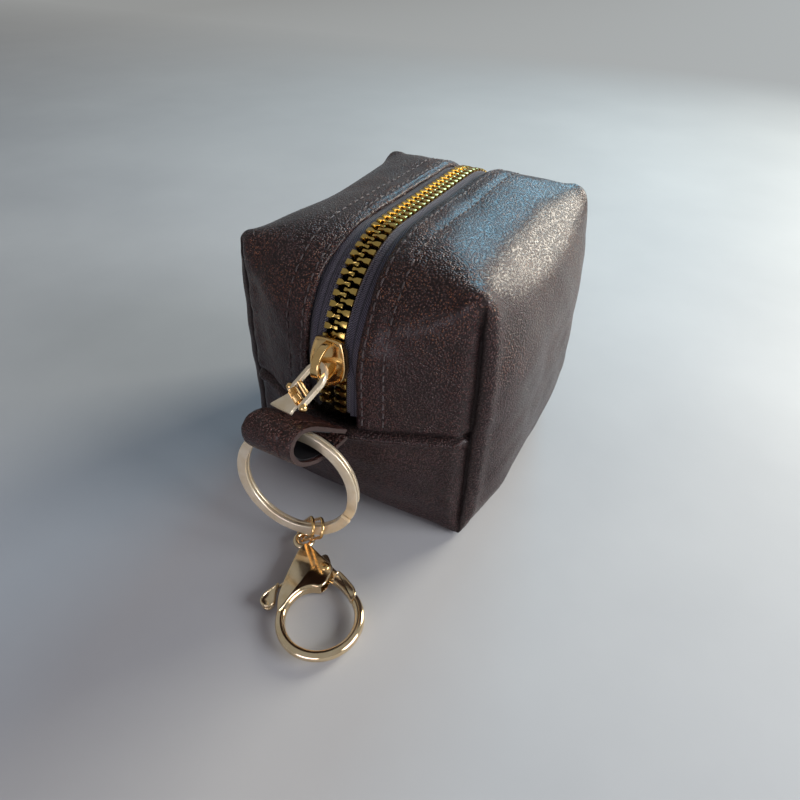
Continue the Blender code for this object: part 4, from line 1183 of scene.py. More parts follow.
@dataclass
class Zipper:
    """Both tapes with their beads, and both rows of teeth."""

    line: ZipperLine
    tape: float = 0.0006
    tape_outer: float = 0.0135
    tape_drop: float = 0.0012
    clearance: float = 0.0003
    pitch: float = 0.00254
    tall: float = 0.0024
    reach: float = 0.0029
    tip: float = 0.00055
    base: float = 0.00150
    bead: float = 0.00055

    def tape_piece(self, side: Side, finishes: Finishes) -> None:
        """Lay one tape: from beside the teeth out under the leather, on the leather's inner side."""
        form = self.line.form
        inner = self.reach + 3 * self.clearance
        rise = float(form.over_top(0.0, -1.0)[2]) - form.seam_height
        ends = (self.line.start - self.line.radius / 20 - form.seam_height) / rise
        share, run = np.meshgrid(np.linspace(0, 1, 15), np.linspace(-1, 1, 261) * (2 - ends), indexing="ij")
        x = inner + (self.tape_outer - inner) * share
        u = side.value * x / (form.width / 2)
        normal = form.over_top_normal(u, run)
        inset = self.line.inset - self.tape / 2 + self.tape_drop * share
        points = form.over_top(u, run) - normal * inset[..., None]
        points[..., 0] += side.value * self.line.parting(self.line.run_near(points)) * (1 - share) ** 2
        along = lengths_along(points[len(points) // 2])
        uv = np.stack((x, np.broadcast_to(along, x.shape)), axis=-1)
        under = points - normal * self.tape
        maker = MeshMaker(f"woven_tape_{side.name.lower()}")
        maker.grid(points, uv).grid(under, uv)
        for index in (0, -1):
            maker.grid(np.stack((points[index], under[index])), np.stack((uv[index], uv[index])))
            maker.grid(np.stack((points[:, index], under[:, index])), np.stack((uv[:, index], uv[:, index])))
        name = f"zipper_tape_{side.name.lower()}"
        seat(maker.make(50), "pouch", finishes.tape, "navy_tape", name)

    def tooth(self) -> Array:
        """Return one tooth as rings of points (levels, around, 3) with its head towards -X.

        Seen from above, half its width follows x: wide at the foot, narrow at the neck, wider at the
        head. Its rings are drawn in near both faces, and it is lower towards the head.
        """
        share_x = np.array((1.0, 0.97, 0.62, 0.50, 0.36, 0.22, 0.08, -0.10, -0.17, -0.19))
        half = np.array((0.86, 1.0, 1.0, 0.74, 0.44, 0.41, 0.50, 0.62, 0.52, 0.30)) * self.base / 2
        x = share_x * self.reach
        outline = np.concatenate((np.stack((x, half), 1), np.stack((x, -half), 1)[::-1]))
        centre = outline.mean(axis=0)
        lower = np.interp(outline[:, 0], (-self.tip, self.reach * 0.5), (0.80, 1.0))
        draw = np.array((0.0, 0.90, 1.0, 1.0, 0.90, 0.0))[:, None, None]
        level = np.array((-1.0, -1.0, -0.91, 0.91, 1.0, 1.0))[:, None] * self.tall / 2 * lower[None]
        ring = centre + (outline - centre) * np.maximum(draw, 0.02)
        return np.concatenate((ring, np.broadcast_to(level[..., None], (*level.shape, 1))), axis=-1)

    def teeth_piece(self, side: Side, finishes: Finishes) -> None:
        """Set one row of teeth on the line: point + x * across + y * along + z * normal."""
        line = self.line
        first = self.pitch / 4 if side is Side.RIGHT else self.pitch * 3 / 4
        count = int((line.length - first - self.base / 2) / self.pitch) + 1
        run = first + np.arange(count) * self.pitch
        point, along, normal = line.frames(run)
        across = ACROSS * side.value
        point = point + across * line.parting(run)[:, None]
        x, y, z = np.moveaxis(looped(self.tooth())[..., None], 2, 0)
        world = point[:, None, None] + x * across + y * along[:, None, None] + z * normal[:, None, None]
        maker = MeshMaker(f"brass_teeth_{side.name.lower()}")
        maker.grid(world)
        seat(maker.make(40), "pouch", finishes.brass, "brass", f"zipper_teeth_{side.name.lower()}")

    def bead_piece(self, finishes: Finishes) -> None:
        """Sweep the round bead at each tape's edge, which the teeth are clamped on."""
        maker = MeshMaker("tape_beads")
        run = np.linspace(0, self.line.length, 260)
        point, along, normal = self.line.frames(run)
        for side in Side:
            x = side.value * (self.reach + self.bead * 0.55 + self.line.parting(run))
            path = point + ACROSS * x[:, None]
            points = sweep(path, ACROSS, normal, round_profile(self.bead, self.bead * 0.85, 2.0, 8))
            uv = np.stack(np.meshgrid(run, np.linspace(0, 0.0034, 9), indexing="ij")[::-1], axis=-1)
            maker.tube(points, uv)
        seat(maker.make(60), "pouch", finishes.tape, "navy_tape")

    def build(self, finishes: Finishes) -> None:
        """Make the tapes, the beads and the teeth."""
        for side in Side:
            self.tape_piece(side, finishes)
            self.teeth_piece(side, finishes)
        self.bead_piece(finishes)


# Slider and pull


@dataclass
class Slider:
    """The slider: a domed shield over the teeth, a plate below them, the post between, and the crown."""

    line: ZipperLine
    length: float = 0.0124
    width: float = 0.0102
    neck: float = 0.0078
    plate: float = 0.0009
    channel: float = 0.0037
    wall: float = 0.0005
    sink: float = 0.0003
    crown_width: float = 0.0024
    crown_length: float = 0.0092
    crown_height: float = 0.0058
    crown_bar: float = 0.0009
    tape_gap: float = 0.0021
    shield: tuple = ((0.25, -1.0), (0.85, -0.66), (1.0, -0.18), (0.93, 0.30))
    tail: tuple = ((1.0, 0.78), (0.86, 1.0))
    dome_scale: tuple = (0.02, 0.25, 0.50, 0.70, 0.80, 0.845, 0.90, 0.95, 0.985, 1.0)
    dome_lift: tuple = (0.30, 0.28, 0.20, 0.07, 0.0, -0.02, 0.20, 0.22, 0.10, -0.25)
    plain_share: float = 0.3
    post_half: float = 0.00055

    def matrix(self) -> Array:
        """Return the slider's place: X across, Y along the teeth, Z outwards."""
        point, along, normal = self.line.frames(np.array(self.line.slider_run))
        return local_frame(ACROSS, along, normal, point - normal * self.sink)

    def outline(self) -> Array:
        """Return the shield's outline, anticlockwise, rounded by cutting its corners."""
        wide = np.array(self.shield) * (self.width / 2, self.length / 2)
        narrow = np.array(self.tail) * (self.neck / 2, self.length / 2)
        half = np.concatenate((wide, narrow))
        return chaikin(np.concatenate((half, half[::-1] * (-1, 1))), 3, True)

    def shell(self, maker: MeshMaker, upper: bool) -> None:
        """Add one half of the body as rings of the outline: scaled in, raised to a dome, and hollow below."""
        ring = self.outline()
        top = self.channel / 2 + self.plate
        inner = (self.width / 2 - self.wall) / (self.width / 2)
        scale = (*self.dome_scale, 1.0, 0.99, inner, inner * 0.99, 0.02)
        lift = np.array(self.dome_lift) * self.plate * (1 if upper else self.plain_share)
        opening = ease(np.abs(ring[:, 1]), self.length * 0.30, self.length * 0.40)
        rim = self.tape_gap / 2 + (self.channel / 2 - self.tape_gap / 2) * opening
        ceiling = np.full(len(ring), self.channel / 2)
        levels = [np.full(len(ring), top + value) for value in lift]
        levels += [rim + self.wall * 0.2, rim, rim, ceiling, ceiling]
        rings = ring[None] * np.array(scale)[:, None, None]
        points = np.concatenate((rings, np.stack(levels)[..., None]), axis=-1) * (1, 1, 1 if upper else -1)
        maker.grid(placed(self.matrix(), looped(points)))

    def post(self, maker: MeshMaker) -> None:
        """Add the diamond post that parts the teeth: an ellipse-like ring carried from plate to plate."""
        profile = round_profile(self.post_half, self.length * 0.15, 1.5, 16)
        reach = np.array((-0.5, 0.5)) * self.channel
        maker.tube(rod(self.matrix(), (0, -self.length * 0.33, 0), UP, reach, profile))

    def crown(self, finishes: Finishes) -> None:
        """Sweep a rounded bar along the arch that holds the pull."""
        half, top, bar = self.crown_length / 2, self.crown_height, self.crown_bar
        arch = np.array((
            (-half + bar * 0.5, 0), (-half + bar * 0.45, top * 0.40), (-half * 0.64, top * 0.82),
            (-half * 0.18, top - bar * 0.5), (half * 0.42, top * 0.86 - bar * 0.5),
            (half - bar * 0.9, top * 0.34), (half - bar * 0.6, 0),
        ))
        arch = resampled(chaikin(arch, 3), 48)
        base = self.channel / 2 + self.plate + 0.0001
        path = np.stack((np.zeros(len(arch)), arch[:, 0] + self.length * 0.06, arch[:, 1] + base), axis=1)
        wide = self.crown_width / 2 * (1 - 0.22 * np.linspace(0, 1, len(path)))
        sizes = np.stack((wide, np.full_like(wide, bar / 2)), axis=1)
        profile = rounded_rectangle(1.0, 1.0, 0.36)[None] * sizes[:, None]
        points = sweep(path, ACROSS, unit(np.cross(ACROSS, tangents(path))), profile)
        maker = MeshMaker("crown_arch")
        maker.tube(placed(self.matrix(), points))
        seat(maker.make(50), "slider", finishes.warm_gold, "pale_gold", "slider_crown")

    def build(self, finishes: Finishes) -> None:
        """Make the body and the crown."""
        maker = MeshMaker("slider_shield")
        self.shell(maker, True)
        self.shell(maker, False)
        self.post(maker)
        seat(maker.make(40), "slider", finishes.warm_gold, "pale_gold", "slider_body")
        self.crown(finishes)


@dataclass
class Pull:
    """The pull: a D-shaped link, a cross pin with knobs, and a plain flared paddle with a ribbed knuckle."""

    slider: Slider
    width: float = 0.0086
    length: float = 0.0112
    bar: float = 0.0014
    thick: float = 0.0012
    pin: float = 0.0006
    pin_half: float = 0.0046
    knob: float = 1.75
    knob_reach: float = 1.5
    clearance: float = 0.0003
    paddle_top: float = 0.0056
    paddle_bottom: float = 0.0082
    paddle_left: float = 0.0065
    paddle_right: float = 0.0035
    paddle_thick: float = 0.0010
    paddle_turn: float = math.radians(-12)
    hung: tuple = (0.0006, 0.0, 0.0023)

    def matrix(self) -> Array:
        """Return the pull's place: X across, Y down along it, Z through it."""
        axis = unit(np.array((-0.42, -0.60, -0.68)))
        across = unit(np.array((0.82, -0.57, 0.0)))
        across = unit(across - axis * float(across @ axis))
        lift = self.slider.channel / 2 + self.slider.plate + self.clearance
        place = placed(self.slider.matrix(), np.array(self.hung) + UP * lift)
        return local_frame(across, axis, np.cross(across, axis), place)

    def link(self, finishes: Finishes) -> None:
        """Sweep a rounded bar round the D, and add its ribbed cross bar."""
        half = (self.width - self.bar) / 2
        top, bottom = 0.0, self.length - self.bar * 0.5
        turns = np.linspace(0, math.pi, 33)
        arc = np.stack((half * np.cos(turns), top + half * (1 - np.sin(turns))), axis=1)
        right = np.stack((np.full(10, half), np.linspace(bottom, top + half, 11)[:-1]), axis=1)
        left = np.stack((np.full(10, -half), np.linspace(top + half, bottom, 11)[1:]), axis=1)
        line = np.concatenate((right, arc, left))
        path = np.concatenate((line, np.zeros((len(line), 1))), axis=1)
        run = tangents(path)
        profile = rounded_rectangle(self.bar / 2, self.thick / 2, 0.00022)
        points = sweep(path, np.cross(run, UP), UP, profile)
        maker = MeshMaker("pull_bail")
        maker.tube(placed(self.matrix(), points))
        seat(maker.make(40), "pull", finishes.cream_gold, "pale_gold", "pull_link")
        cross = MeshMaker("ribbed_cross_bar")
        cross_at = self.length - self.bar * 2.95
        self.ribbed(cross, self.matrix(), cross_at, half, self.bar * 0.42, self.thick * 0.45, 15)
        seat(cross.make(60), "pull", finishes.warm_gold, "pale_gold")

    @staticmethod
    def ribbed(
        maker: MeshMaker, matrix: Array, at: float, half: float, wide: float, tall: float, ribs: int
    ) -> None:
        """Add a bar along local X whose radius is r * (0.94 + 0.20 * sin(ribs * t)).

        Args:
            maker: The mesh that the bar is added to.
            matrix: Place of the local frame.
            at: Local Y of the bar.
            half: Half its length.
            wide: Half its size along Y.
            tall: Half its size along Z.
            ribs: Number of ribs.
        """
        x = np.linspace(-half, half, ribs * 8)
        swell = 0.94 + 0.20 * np.sin(np.linspace(0, ribs * TURN, len(x)))
        profile = round_profile(wide, tall, 2.4, 20)[None] * swell[:, None, None]
        maker.tube(rod(matrix, (0, at, 0), ACROSS, x, profile))

    def pin_piece(self, finishes: Finishes) -> None:
        """Turn the cross pin: a thin rod whose ends swell to round knobs."""
        ball = self.pin * self.knob_reach
        reach = self.pin_half + ball
        x = np.linspace(-1, 1, 81) * reach
        out = np.abs(x)
        knob = np.sqrt(np.maximum(1 - ((out - reach + ball) / ball) ** 2, 0.0))
        knob = np.where(out > reach - 2 * ball, knob * self.pin * self.knob, 0)
        plain = np.where(out < reach - self.pin, self.pin, self.pin * 0.03)
        ring = round_profile(1.0, 1.0, 2.0, 20)[None] * np.maximum(knob, plain)[:, None, None]
        maker = MeshMaker("knuckle_pin")
        maker.tube(rod(self.matrix(), (0, self.length - self.bar * 1.15, 0), ACROSS, x, ring))
        seat(maker.make(50), "pull", finishes.warm_gold, "pale_gold", "pull_pin")

    def paddle(self, finishes: Finishes) -> None:
        """Make the flat flared tab with rounded edges and the ribbed roll round the pin."""
        cosine, sine = math.cos(self.paddle_turn), math.sin(self.paddle_turn)
        along, through = ALONG * cosine + UP * sine, UP * cosine - ALONG * sine
        place = ALONG * (self.length - self.bar * 1.15)
        matrix = self.matrix() @ local_frame(ACROSS, along, through, place)
        half = self.paddle_bottom / 2
        knuckle = self.width / 2 - self.bar - self.clearance
        outer = self.pin + self.clearance + self.paddle_thick * 0.45
        waist = outer * 0.6 + self.paddle_thick
        outline = np.array((
            (-knuckle, outer * 0.3), (knuckle, outer * 0.3), (self.paddle_top / 2, waist),
            (half * 0.84, self.paddle_right * 0.88), (half * 0.80, self.paddle_right),
            (-half * 0.90, self.paddle_left), (-half * 0.98, self.paddle_left * 0.93),
            (-self.paddle_top / 2, waist),
        ))
        outline = chaikin(outline, 2, True)
        maker = MeshMaker("pull_tab")
        rounded_plate(maker, matrix, outline, -self.paddle_thick / 2, self.paddle_thick / 2, 0.0002)
        seat(maker.make(40), "paddle", finishes.cream_gold, "pale_gold", "pull_paddle")
        roll = MeshMaker("ribbed_roll")
        self.ribbed(roll, matrix, 0.0, knuckle, outer * 0.80, outer * 0.80, 13)
        seat(roll.make(60), "paddle", finishes.warm_gold, "pale_gold")

    def build(self, finishes: Finishes) -> None:
        """Make the link, the pin and the paddle."""
        self.link(finishes)
        self.pin_piece(finishes)
        self.paddle(finishes)


# Strap loop


@dataclass
class StrapLoop:
    """The folded leather strap and the black backing inside it."""

    width: float = 0.0140
    thick: float = 0.0012
    backing: float = 0.0004
    clearance: float = 0.0003
    centre_x: float = -0.0015
    reach: float = 0.0184
    skew: float = 0.0035
    root: tuple = (-0.0526, 0.0378)
    crease: float = 0.0036
    crease_depth: float = 0.45
    crease_width: float = 0.00030
    edge_fall: float = 0.16
    path: tuple = (
        (0, 0.0017), (0.0030, 0.0040), (0.0075, 0.0077), (0.0115, 0.0106), (0.0155, 0.0112), (0.0182, 0.0090),
        (0.0184, 0.0050), (0.0166, 0.0013), (0.0135, -0.0010), (0.0095, -0.0023), (0.0045, -0.0024),
        (0, -0.0017),
    )

    def line(self, shorter: float) -> Array:
        """Return the loop's line as distance out and height, rounded and evenly spaced."""
        points = chaikin(np.array(self.path, dtype=float), 3)
        points = points[points[:, 0] >= shorter]
        return resampled(points, 120)

    def strip(self, line: Array, top: float, under: float, profile: Array) -> Array:
        """Carry a strip's section along the line: x across the strap, depth along the line's normal.

        Args:
            line: Points of the line.
            top: Depth of the strip's outer side below the line.
            under: Depth of its inner side.
            profile: Closed section with both axes from -1 to 1.

        Returns:
            A grid of points in the world.
        """
        run = tangents(line)
        normal = np.stack((-run[:, 1], run[:, 0]), axis=1)
        depth = -(top + under) / 2 + (under - top) / 2 * profile[:, 1]
        flat = line[:, None] + normal[:, None] * depth[None, :, None]
        across = np.broadcast_to(self.width / 2 * profile[:, 0], flat.shape[:2])
        x = self.centre_x + across - self.skew * flat[..., 0] / self.reach
        return np.stack((x, self.root[0] - flat[..., 0], self.root[1] + flat[..., 1]), axis=-1)

    def strap(self, finishes: Finishes) -> None:
        """Make the strap with a pressed crease beside one edge, and its raw edges in their own finish."""
        line = self.line(0.0)
        across = np.linspace(-1, 1, 57)
        half = self.width / 2
        groove = self.crease_depth * ridge(across * half, half - self.crease, self.crease_width)
        groove += self.edge_fall * ridge(np.abs(across), 1.0, 0.05)
        top = np.stack((across, 1 - groove), axis=1)
        side = np.linspace(1, -1, 7)[1:-1]
        right = np.stack((np.full(5, 1.0), side * 0.84), axis=1)
        bottom = np.stack((across[::-1], np.full(57, -1.0)), axis=1)
        left = np.stack((np.full(5, -1.0), -side * 0.84), axis=1)
        profile = closed(np.concatenate((top, right, bottom, left)))
        points = self.strip(line, 0.0, self.thick, profile)
        wrinkle = 0.00012 * ripple(points, 0.006, 31) + 0.00008 * ripple(points, 0.0022, 37)
        points = points + wrinkle[..., None] * unit(np.array((0.0, -0.6, 0.8)))
        maker = MeshMaker("folded_strap")
        maker.tube(points)
        piece = maker.make(45)
        seat(piece, "pouch", finishes.strap, "brown_leather", "loop_strap")
        piece.data.materials.append(finishes.raw_edge)
        normals = np.empty(len(piece.data.polygons) * 3)
        piece.data.polygons.foreach_get("normal", normals)
        raw = (np.abs(normals.reshape(-1, 3)[:, 0]) > 0.75).astype(np.int32)
        piece.data.polygons.foreach_set("material_index", raw)

    def lining(self, finishes: Finishes) -> None:
        """Make the narrower backing strip inside the strap."""
        line = self.line(self.thick * 3)
        profile = rounded_rectangle(0.88, 1.0, 0.1, 3)
        top = self.thick + self.clearance * 0.4
        maker = MeshMaker("strap_backing")
        maker.tube(self.strip(line, top, top + self.backing, profile))
        seat(maker.make(45), "pouch", finishes.backing, "black_backing", "loop_lining")

    def build(self, finishes: Finishes) -> None:
        """Make the strap and its backing."""
        self.strap(finishes)
        self.lining(finishes)


# Rings


@dataclass
class KeyRing:
    """The split ring: a flat strip wound twice round, with a short step from one coil to the other."""

    radius: float = 0.0170
    flat: float = 0.0027
    coil: float = 0.0010
    clearance: float = 0.00016
    centre: tuple = (-0.0036, -0.0632, 0.0256)
    normal: tuple = (0.16, -0.98, 0.105)
    start: float = math.radians(-4)
    step: float = math.radians(24)

    def matrix(self) -> Array:
        """Return the ring's place: Z through the ring, Y up in its plane."""
        through = unit(np.array(self.normal))
        across = unit(np.cross(UP, through))
        return local_frame(across, np.cross(through, across), through, self.centre)

    def build(self, finishes: Finishes) -> None:
        """Sweep a rounded strip round two level coils, one pitch apart, joined by a short soft step."""
        level = TURN - self.step
        turn = np.linspace(0, 2 * level + self.step, 440)
        pitch = self.coil + self.clearance
        climb = pitch * ease(turn, level, TURN) - pitch / 2
        angle = turn + self.start
        out = np.stack((np.cos(angle), np.sin(angle), np.zeros_like(angle)), axis=1)
        path = out * (self.radius - self.flat / 2) + UP * climb[:, None]
        profile = rounded_rectangle(self.flat / 2, self.coil / 2, 0.00024, 5)
        maker = MeshMaker("split_ring")
        maker.tube(placed(self.matrix(), sweep(path, out, UP, profile)))
        seat(maker.make(40), "split_ring", finishes.cream_gold, "pale_gold", "key_ring")


@dataclass
class JumpLinks:
    """The two oval wire links between the key ring and the clasp."""

    wire: float = 0.00045
    half_width: float = 0.0025
    side: tuple = (-0.70, 0.715, 0.0)
    front: tuple = ((0.00228, -0.00055, 0.00312), (-0.00342, 0.00200, 0.01168))
    rear: tuple = ((0.00278, 0.00084, 0.00312), (-0.00523, 0.00418, 0.01261))

    def link(self, name: str, ends: tuple, node: str, finishes: Finishes) -> None:
        """Sweep a round wire along an oval: two half circles joined by straight runs.

        Args:
            name: Name of the piece.
            ends: Foot in the clasp's eye and head in the key ring.
            node: The solid that it replaces.
            finishes: The materials.
        """
        side = unit(np.array(self.side))
        across = np.cross(side, UP)
        low, high = (np.array(CLASP_EYE) + side * out + across * over + UP * up for out, over, up in ends)
        rise = unit(high - low)
        wide = unit(side - rise * float(side @ rise))
        turn = np.linspace(0, math.pi, 21)[:, None]
        arc = (wide * np.cos(turn) + rise * np.sin(turn)) * self.half_width
        path = resampled(closed(np.concatenate((high + arc, low - arc))), 81)
        run = tangents(path, True)
        through = unit(np.cross(wide, rise))
        points = sweep(path, np.cross(run, through), through, round_profile(self.wire, self.wire, 2.0, 16))
        maker = MeshMaker(name)
        maker.tube(points, capped=False)
        seat(maker.make(60), "jump_links", finishes.warm_gold, "pale_gold", node)

    def build(self, finishes: Finishes) -> None:
        """Make both links."""
        self.link("front_link", self.front, "jump_ring_front", finishes)
        self.link("rear_link", self.rear, "jump_ring_rear", finishes)


# Clasp


@dataclass
class Clasp:
    """The round trigger clasp: ring, forked cheeks and eye in one casting, lever, spring and rivet."""

    radius: float = 0.00985
    tube: float = 0.00128
    thick: float = 0.0036
    cheek: float = 0.0006
    length: float = 0.0251
    lift: float = 0.0007
    eye_radius: float = 0.00235
    eye_tube: float = 0.0008
    centre: tuple = (0.0142, -0.0815, 0.0)
    pivot: tuple = (0.0039, 0.0137)
    hook_start: float = math.radians(84)
    hook_end: float = math.radians(375.1)
    hook_slant: float = math.radians(5.9)
    rivet: float = 0.0007
    rivet_head: float = 0.0003
    rivet_flare: float = 1.9
    lever_half: float = 0.0009
    lever_thin: float = 0.0008
    fork_bevels: tuple = (0.00040, 0.00004)
    web_bevel: float = 0.00002
    web_overlap: float = 0.00003
    bar_bevel: float = 0.00018
    pad_bevels: tuple = (0.00026, 0.00020)
    gate_dish: tuple = (0.00022, 0.00012)
    thumb_dish: tuple = (0.00018, 0.00014)
    fork: tuple = (
        (-1.02, 0.36), (-0.90, 0.40), (-0.62, 0.72), (-0.34, 0.88), (-0.04, 0.90), (0.12, 0.80), (0.30, 0.85),
        (0.42, 1.02), (0.56, 1.22), (0.60, 1.42), (0.46, 1.62), (0.33, 1.84), (0.09, 2.30), (-0.12, 2.30),
        (-0.54, 1.61), (-0.78, 1.18), (-0.96, 0.79),
    )
    web: tuple = (*fork[:6], (0.20, 0.83), (0.20, 1.14), (-0.76, 1.14), (-0.96, 0.79))
    neck: tuple = ((0.25, 2.00), (0.09, 2.30), (-0.12, 2.30), (-0.30, 2.00))
    arm: tuple = (
        (0.21, 1.36), (0.34, 1.14), (0.61, 0.83), (0.79, 0.49), (0.85, 0.165), (1.076, 0.465), (0.975, 0.77),
        (0.80, 1.16), (0.58, 1.46), (0.59, 1.74), (0.53, 1.95), (0.30, 1.88), (0.24, 1.60),
    )
    gate: tuple = ((0.47, 0.99), *arm[2:8], (0.70, 1.27))
    thumb: tuple = (
        (-0.84, 1.30), (-1.06, 1.19), (-1.30, 1.07), (-1.42, 0.90), (-1.40, 0.76), (-1.29, 0.65),
        (-1.14, 0.64), (-1.03, 0.74), (-0.99, 0.95), (-0.92, 1.18),
    )
    tab: tuple = (
        (0.50, 1.26), (0.46, 1.54), (-0.40, 1.50), (-0.78, 1.33), (-1.06, 1.18), (-1.33, 1.05), (-1.43, 0.85),
        (-1.30, 0.62), (-1.14, 0.63), (-1.06, 0.80), (-0.97, 1.02), (-0.88, 1.26), (-0.40, 1.27),
    )

    def matrix(self) -> Array:
        """Return the clasp's place: its ring on the origin and its eye at +Y."""
        up = unit(np.array(CLASP_EYE) - np.array(self.centre))
        return local_frame(np.cross(up, UP), up, UP, self.centre + UP * (self.thick / 2 + self.lift))

    def drawn(self, shares: tuple, rounds: int = 3) -> Array:
        """Return a rounded outline, anticlockwise, from corners given as shares of the ring's radius."""
        outline = chaikin(np.array(shares) * self.radius, rounds, True)
        turned = np.roll(outline, -1, axis=0)
        area = float((outline[:, 0] * turned[:, 1] - outline[:, 1] * turned[:, 0]).sum())
        return outline if area > 0 else outline[::-1]

    def hook(self, maker: MeshMaker) -> None:
        """Sweep the ring: point = (r + x) * (cos a, sin a), where x shears the angle a at the slanted end."""
        profile = round_profile(self.tube, self.tube, 2.3, 32)
        share = np.linspace(0, 1, 170)[:, None]
        shear = self.hook_slant * profile[None, :, 0] / self.tube * ease(share, 0.90, 1.0)
        angle = self.hook_start + (self.hook_end - self.hook_start) * share + shear
        reach = self.radius + profile[None, :, 0]
        height = np.broadcast_to(profile[None, :, 1], angle.shape)
        points = np.stack((reach * np.cos(angle), reach * np.sin(angle), height), axis=-1)
        maker.tube(placed(self.matrix(), points))

    def casting(self, finishes: Finishes) -> None:
        """Make the ring and the eye, and the fork as two cheeks joined by a web at each end."""
        maker = MeshMaker("clasp_casting")
        self.hook(maker)
        turn = np.linspace(0, TURN, 49)
        around = np.stack((np.cos(turn), np.sin(turn), np.zeros_like(turn)), axis=1)
        eye = around * self.eye_radius + (0, self.length, 0)
        wire = round_profile(self.eye_tube, self.eye_tube, 2.0, 20)
        maker.tube(placed(self.matrix(), sweep(eye, around, UP, wire)), capped=False)
        fork = self.drawn(self.fork)
        top, slot = self.thick / 2, self.thick / 2 - self.cheek
        rounded_plate(maker, self.matrix(), fork, slot, top, *self.fork_bevels)
        rounded_plate(maker, self.matrix(), fork, -top, -slot, *self.fork_bevels[::-1])
        reach = slot + self.web_overlap
        for web in (self.web, self.neck):
            rounded_plate(maker, self.matrix(), self.drawn(web), -reach, reach, self.web_bevel)
        seat(maker.make(40), "clasp", finishes.pale_gold, "pale_gold", "clasp_body")

    def lever(self, finishes: Finishes) -> None:
        """Make the arm with its dished gate, and the thumb tab with its dished head."""
        half, thin = self.lever_half, self.lever_thin
        maker = MeshMaker("clasp_trigger")
        for bar in (self.arm, self.tab):
            rounded_plate(maker, self.matrix(), self.drawn(bar, 2), -half, -half + thin, self.bar_bevel)
        for pad, dish in ((self.gate, self.gate_dish), (self.thumb, self.thumb_dish)):
            rounded_plate(maker, self.matrix(), self.drawn(pad), -half, half, *self.pad_bevels, dish)
        seat(maker.make(40), "lever", finishes.pale_gold, "pale_gold", "clasp_lever")

    def rivet_piece(self, finishes: Finishes) -> None:
        """Turn the rivet: a straight pin with a low dome at each end."""
        low = self.thick / 2
        turn = np.linspace(0, TURN / 4, 8)
        head = self.rivet * self.rivet_flare
        dome = low + self.rivet_head * 2 * np.sin(turn)
        z = np.concatenate((-dome[::-1], (-low, low), dome))
        radius = np.concatenate((head * np.cos(turn)[::-1], (self.rivet, self.rivet), head * np.cos(turn)))
        radius = np.maximum(radius, head * 0.02)
        ring = round_profile(1.0, 1.0, 2.0, 28)[None] * radius[:, None, None]
        maker = MeshMaker("hub_rivet")
        maker.tube(rod(self.matrix(), (*self.pivot, 0), UP, z, ring))
        seat(maker.make(30), "clasp", finishes.warm_gold, "pale_gold", "clasp_rivet")

    def build(self, finishes: Finishes) -> None:
        """Make the casting, the lever and the rivet, and dress the spring's own solid."""
        self.casting(finishes)
        self.lever(finishes)
        self.rivet_piece(finishes)
        spring = bpy.data.objects["clasp_spring"]
        spring.data.materials.clear()
        spring.data.materials.append(finishes.steel)


# Studio


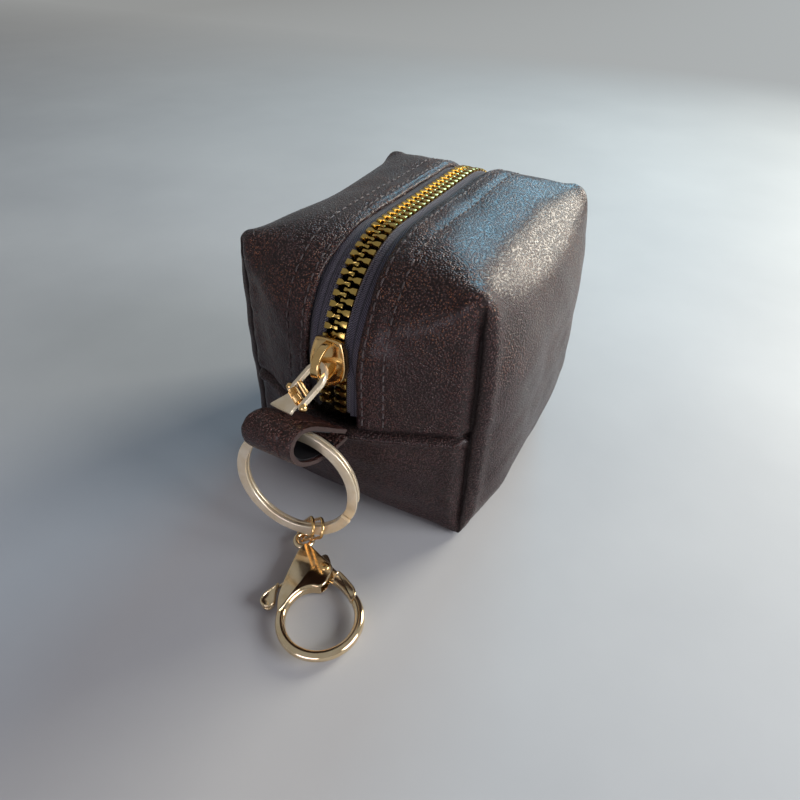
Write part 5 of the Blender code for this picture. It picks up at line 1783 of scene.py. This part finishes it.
@dataclass
class Studio:
    """Pale floor, soft lights and the camera at the photograph's angle."""

    target: tuple = (0.0107, -0.0346, 0.0384)
    azimuth: float = math.radians(27.60)
    elevation: float = math.radians(38.78)
    roll: float = math.radians(1.40)
    distance: float = 0.1610
    lens: float = 27.0
    room: tuple = (0.30, 0.31, 0.315, 1)
    light_below: tuple = (0.21, 0.18, 0.19, 1)
    light_above: tuple = (0.68, 0.62, 0.64, 1)
    light_strength: float = 0.27
    floor_reach: float = 9.0
    lamps: tuple = (
        ("sky", (-0.02, 0.72, 0.44), (0.24, 0.32), 2.2, (0.34, 0.74, 1.0)),
        ("window", (0.36, 0.64, 0.34), (0.30, 0.34), 6.3, (1.0, 0.95, 0.82)),
        ("side", (0.75, 0.05, 0.35), (0.5, 0.4), 5.8, (0.92, 0.94, 1.0)),
        ("front", (0.10, -0.85, 0.16), (0.6, 0.3), 2.1, (0.88, 0.84, 1.0)),
    )
    lamp_target: tuple = (0.0, -0.02, 0.04)
    floor_tones: tuple = ((0.46, 0.47, 0.48), (0.53, 0.54, 0.545))
    # Painted light: the far floor's glow runs from darker on the left to paler on the right, as if lit from
    # the right.
    far_painted_light_tones: tuple = ((0.30, 0.305, 0.30), (0.50, 0.53, 0.54))

    def camera(self) -> None:
        """Set the camera behind the target along its line of sight, turned by the roll."""
        back = np.array((
            math.cos(self.elevation) * math.sin(self.azimuth),
            -math.cos(self.elevation) * math.cos(self.azimuth),
            math.sin(self.elevation),
        ))
        across = unit(np.cross(UP, back))
        over = np.cross(back, across)
        cosine, sine = math.cos(self.roll), math.sin(self.roll)
        right, up = cosine * across + sine * over, cosine * over - sine * across
        data = bpy.data.cameras.new("view")
        data.lens = self.lens
        data.sensor_width = 36
        data.clip_start = 0.005
        data.clip_end = 20
        frame = local_frame(right, up, back, self.target + back * self.distance)
        bpy.context.scene.camera = stand("view", data, frame)

    def lamp(self, name: str, place: tuple, size: tuple, power: float, colour: tuple) -> None:
        """Add a soft rectangular light that looks at the pouch."""
        data = bpy.data.lights.new(name, "AREA")
        data.shape = "RECTANGLE"
        data.size, data.size_y = size
        data.energy = power
        data.color = colour
        back = unit(np.array(place) - np.array(self.lamp_target))
        across = unit(np.cross(UP, back))
        stand(name, data, local_frame(across, np.cross(back, across), back, place))

    def floor(self) -> None:
        """Lay a pale floor that reaches far past the view on every side."""
        reach = np.array((-self.floor_reach, self.floor_reach))
        x, y = np.meshgrid(reach, reach, indexing="ij")
        floor = MeshMaker("floor").grid(np.stack((x, y, np.zeros_like(x)), axis=-1)).make(60, False)
        desk = NodeDesk("pale_floor")
        cloud = desk.span(desk.noise(9, 5.0), 0.3, 0.7)
        desk.feed("Base Color", desk.mix(cloud, *self.floor_tones))
        desk.set(Roughness=0.6, Specular_IOR_Level=0.3)
        desk.relief((desk.noise(500, 4.0), 0.0001, 0.15))
        self.fade(desk)
        floor.data.materials.append(desk.material)

    def fade(self, desk: NodeDesk) -> None:
        """Let the far floor show as a pale glowing backdrop, with painted light that makes it darker on the
        left and paler on the right; it meets the room's tone at the horizon.
        """
        place = desk.node("SeparateXYZ", {"Vector": desk.place}).outputs
        away = desk.node("VectorMath", {0: desk.place}, operation="LENGTH").outputs["Value"]
        far = desk.join(desk.span(place["Y"], 0.10, 0.75), desk.span(away, 0.6, 1.5), "MAXIMUM")
        # Painted light: the glow darkens to the left and pales to the right.
        tone = desk.mix(desk.span(place["X"], -0.9, 0.7), *self.far_painted_light_tones)
        tone = desk.mix(desk.span(away, 1.8, 4.0), tone, self.room[:3])
        glow = desk.node("Emission", {"Color": tone}, Strength=1.0).outputs["Emission"]
        share = desk.join(far, desk.background_ray(), "MULTIPLY")
        desk.show(share, desk.shader.outputs["BSDF"], glow, "Material Output")

    def world(self) -> None:
        """Light the pouch from above and below, and show a paler room to the camera and polished metal."""
        world = bpy.data.worlds.new("room")
        world.use_nodes = True
        desk = TreeDesk(world.node_tree)
        height = desk.node("SeparateXYZ", {"Vector": desk.node("TexCoord").outputs["Generated"]}).outputs["Z"]
        ramp = desk.node("ValToRGB", {"Fac": height})
        below, above = ramp.color_ramp.elements
        below.position, above.position = 0.0, 0.8
        below.color, above.color = self.light_below, self.light_above
        light = desk.tree.nodes["Background"]
        light.inputs["Strength"].default_value = self.light_strength
        desk.tree.links.new(ramp.outputs["Color"], light.inputs["Color"])
        pale = desk.node("Background", Color=self.room).outputs["Background"]
        desk.show(desk.background_ray(), light.outputs["Background"], pale, "World Output")
        bpy.context.scene.world = world

    def build(self) -> None:
        """Set the colour view, the room, the lights and the camera."""
        bpy.context.scene.view_settings.view_transform = "Standard"
        self.world()
        self.floor()
        for lamp in self.lamps:
            self.lamp(*lamp)
        self.camera()


def main() -> None:
    """Build the room and every piece of the pouch, and report each."""
    logging.basicConfig(level=logging.INFO, format="%(name)s: %(message)s")
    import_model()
    finishes = Finishes()
    Studio().build()
    form = PouchForm()
    body = LeatherBody(form)
    body.build(finishes)
    Topstitching(body).build(finishes)
    line = ZipperLine(form)
    Zipper(line).build(finishes)
    slider = Slider(line)
    slider.build(finishes)
    Pull(slider).build(finishes)
    StrapLoop().build(finishes)
    KeyRing().build(finishes)
    JumpLinks().build(finishes)
    Clasp().build(finishes)


if __name__ == "__main__":
    main()
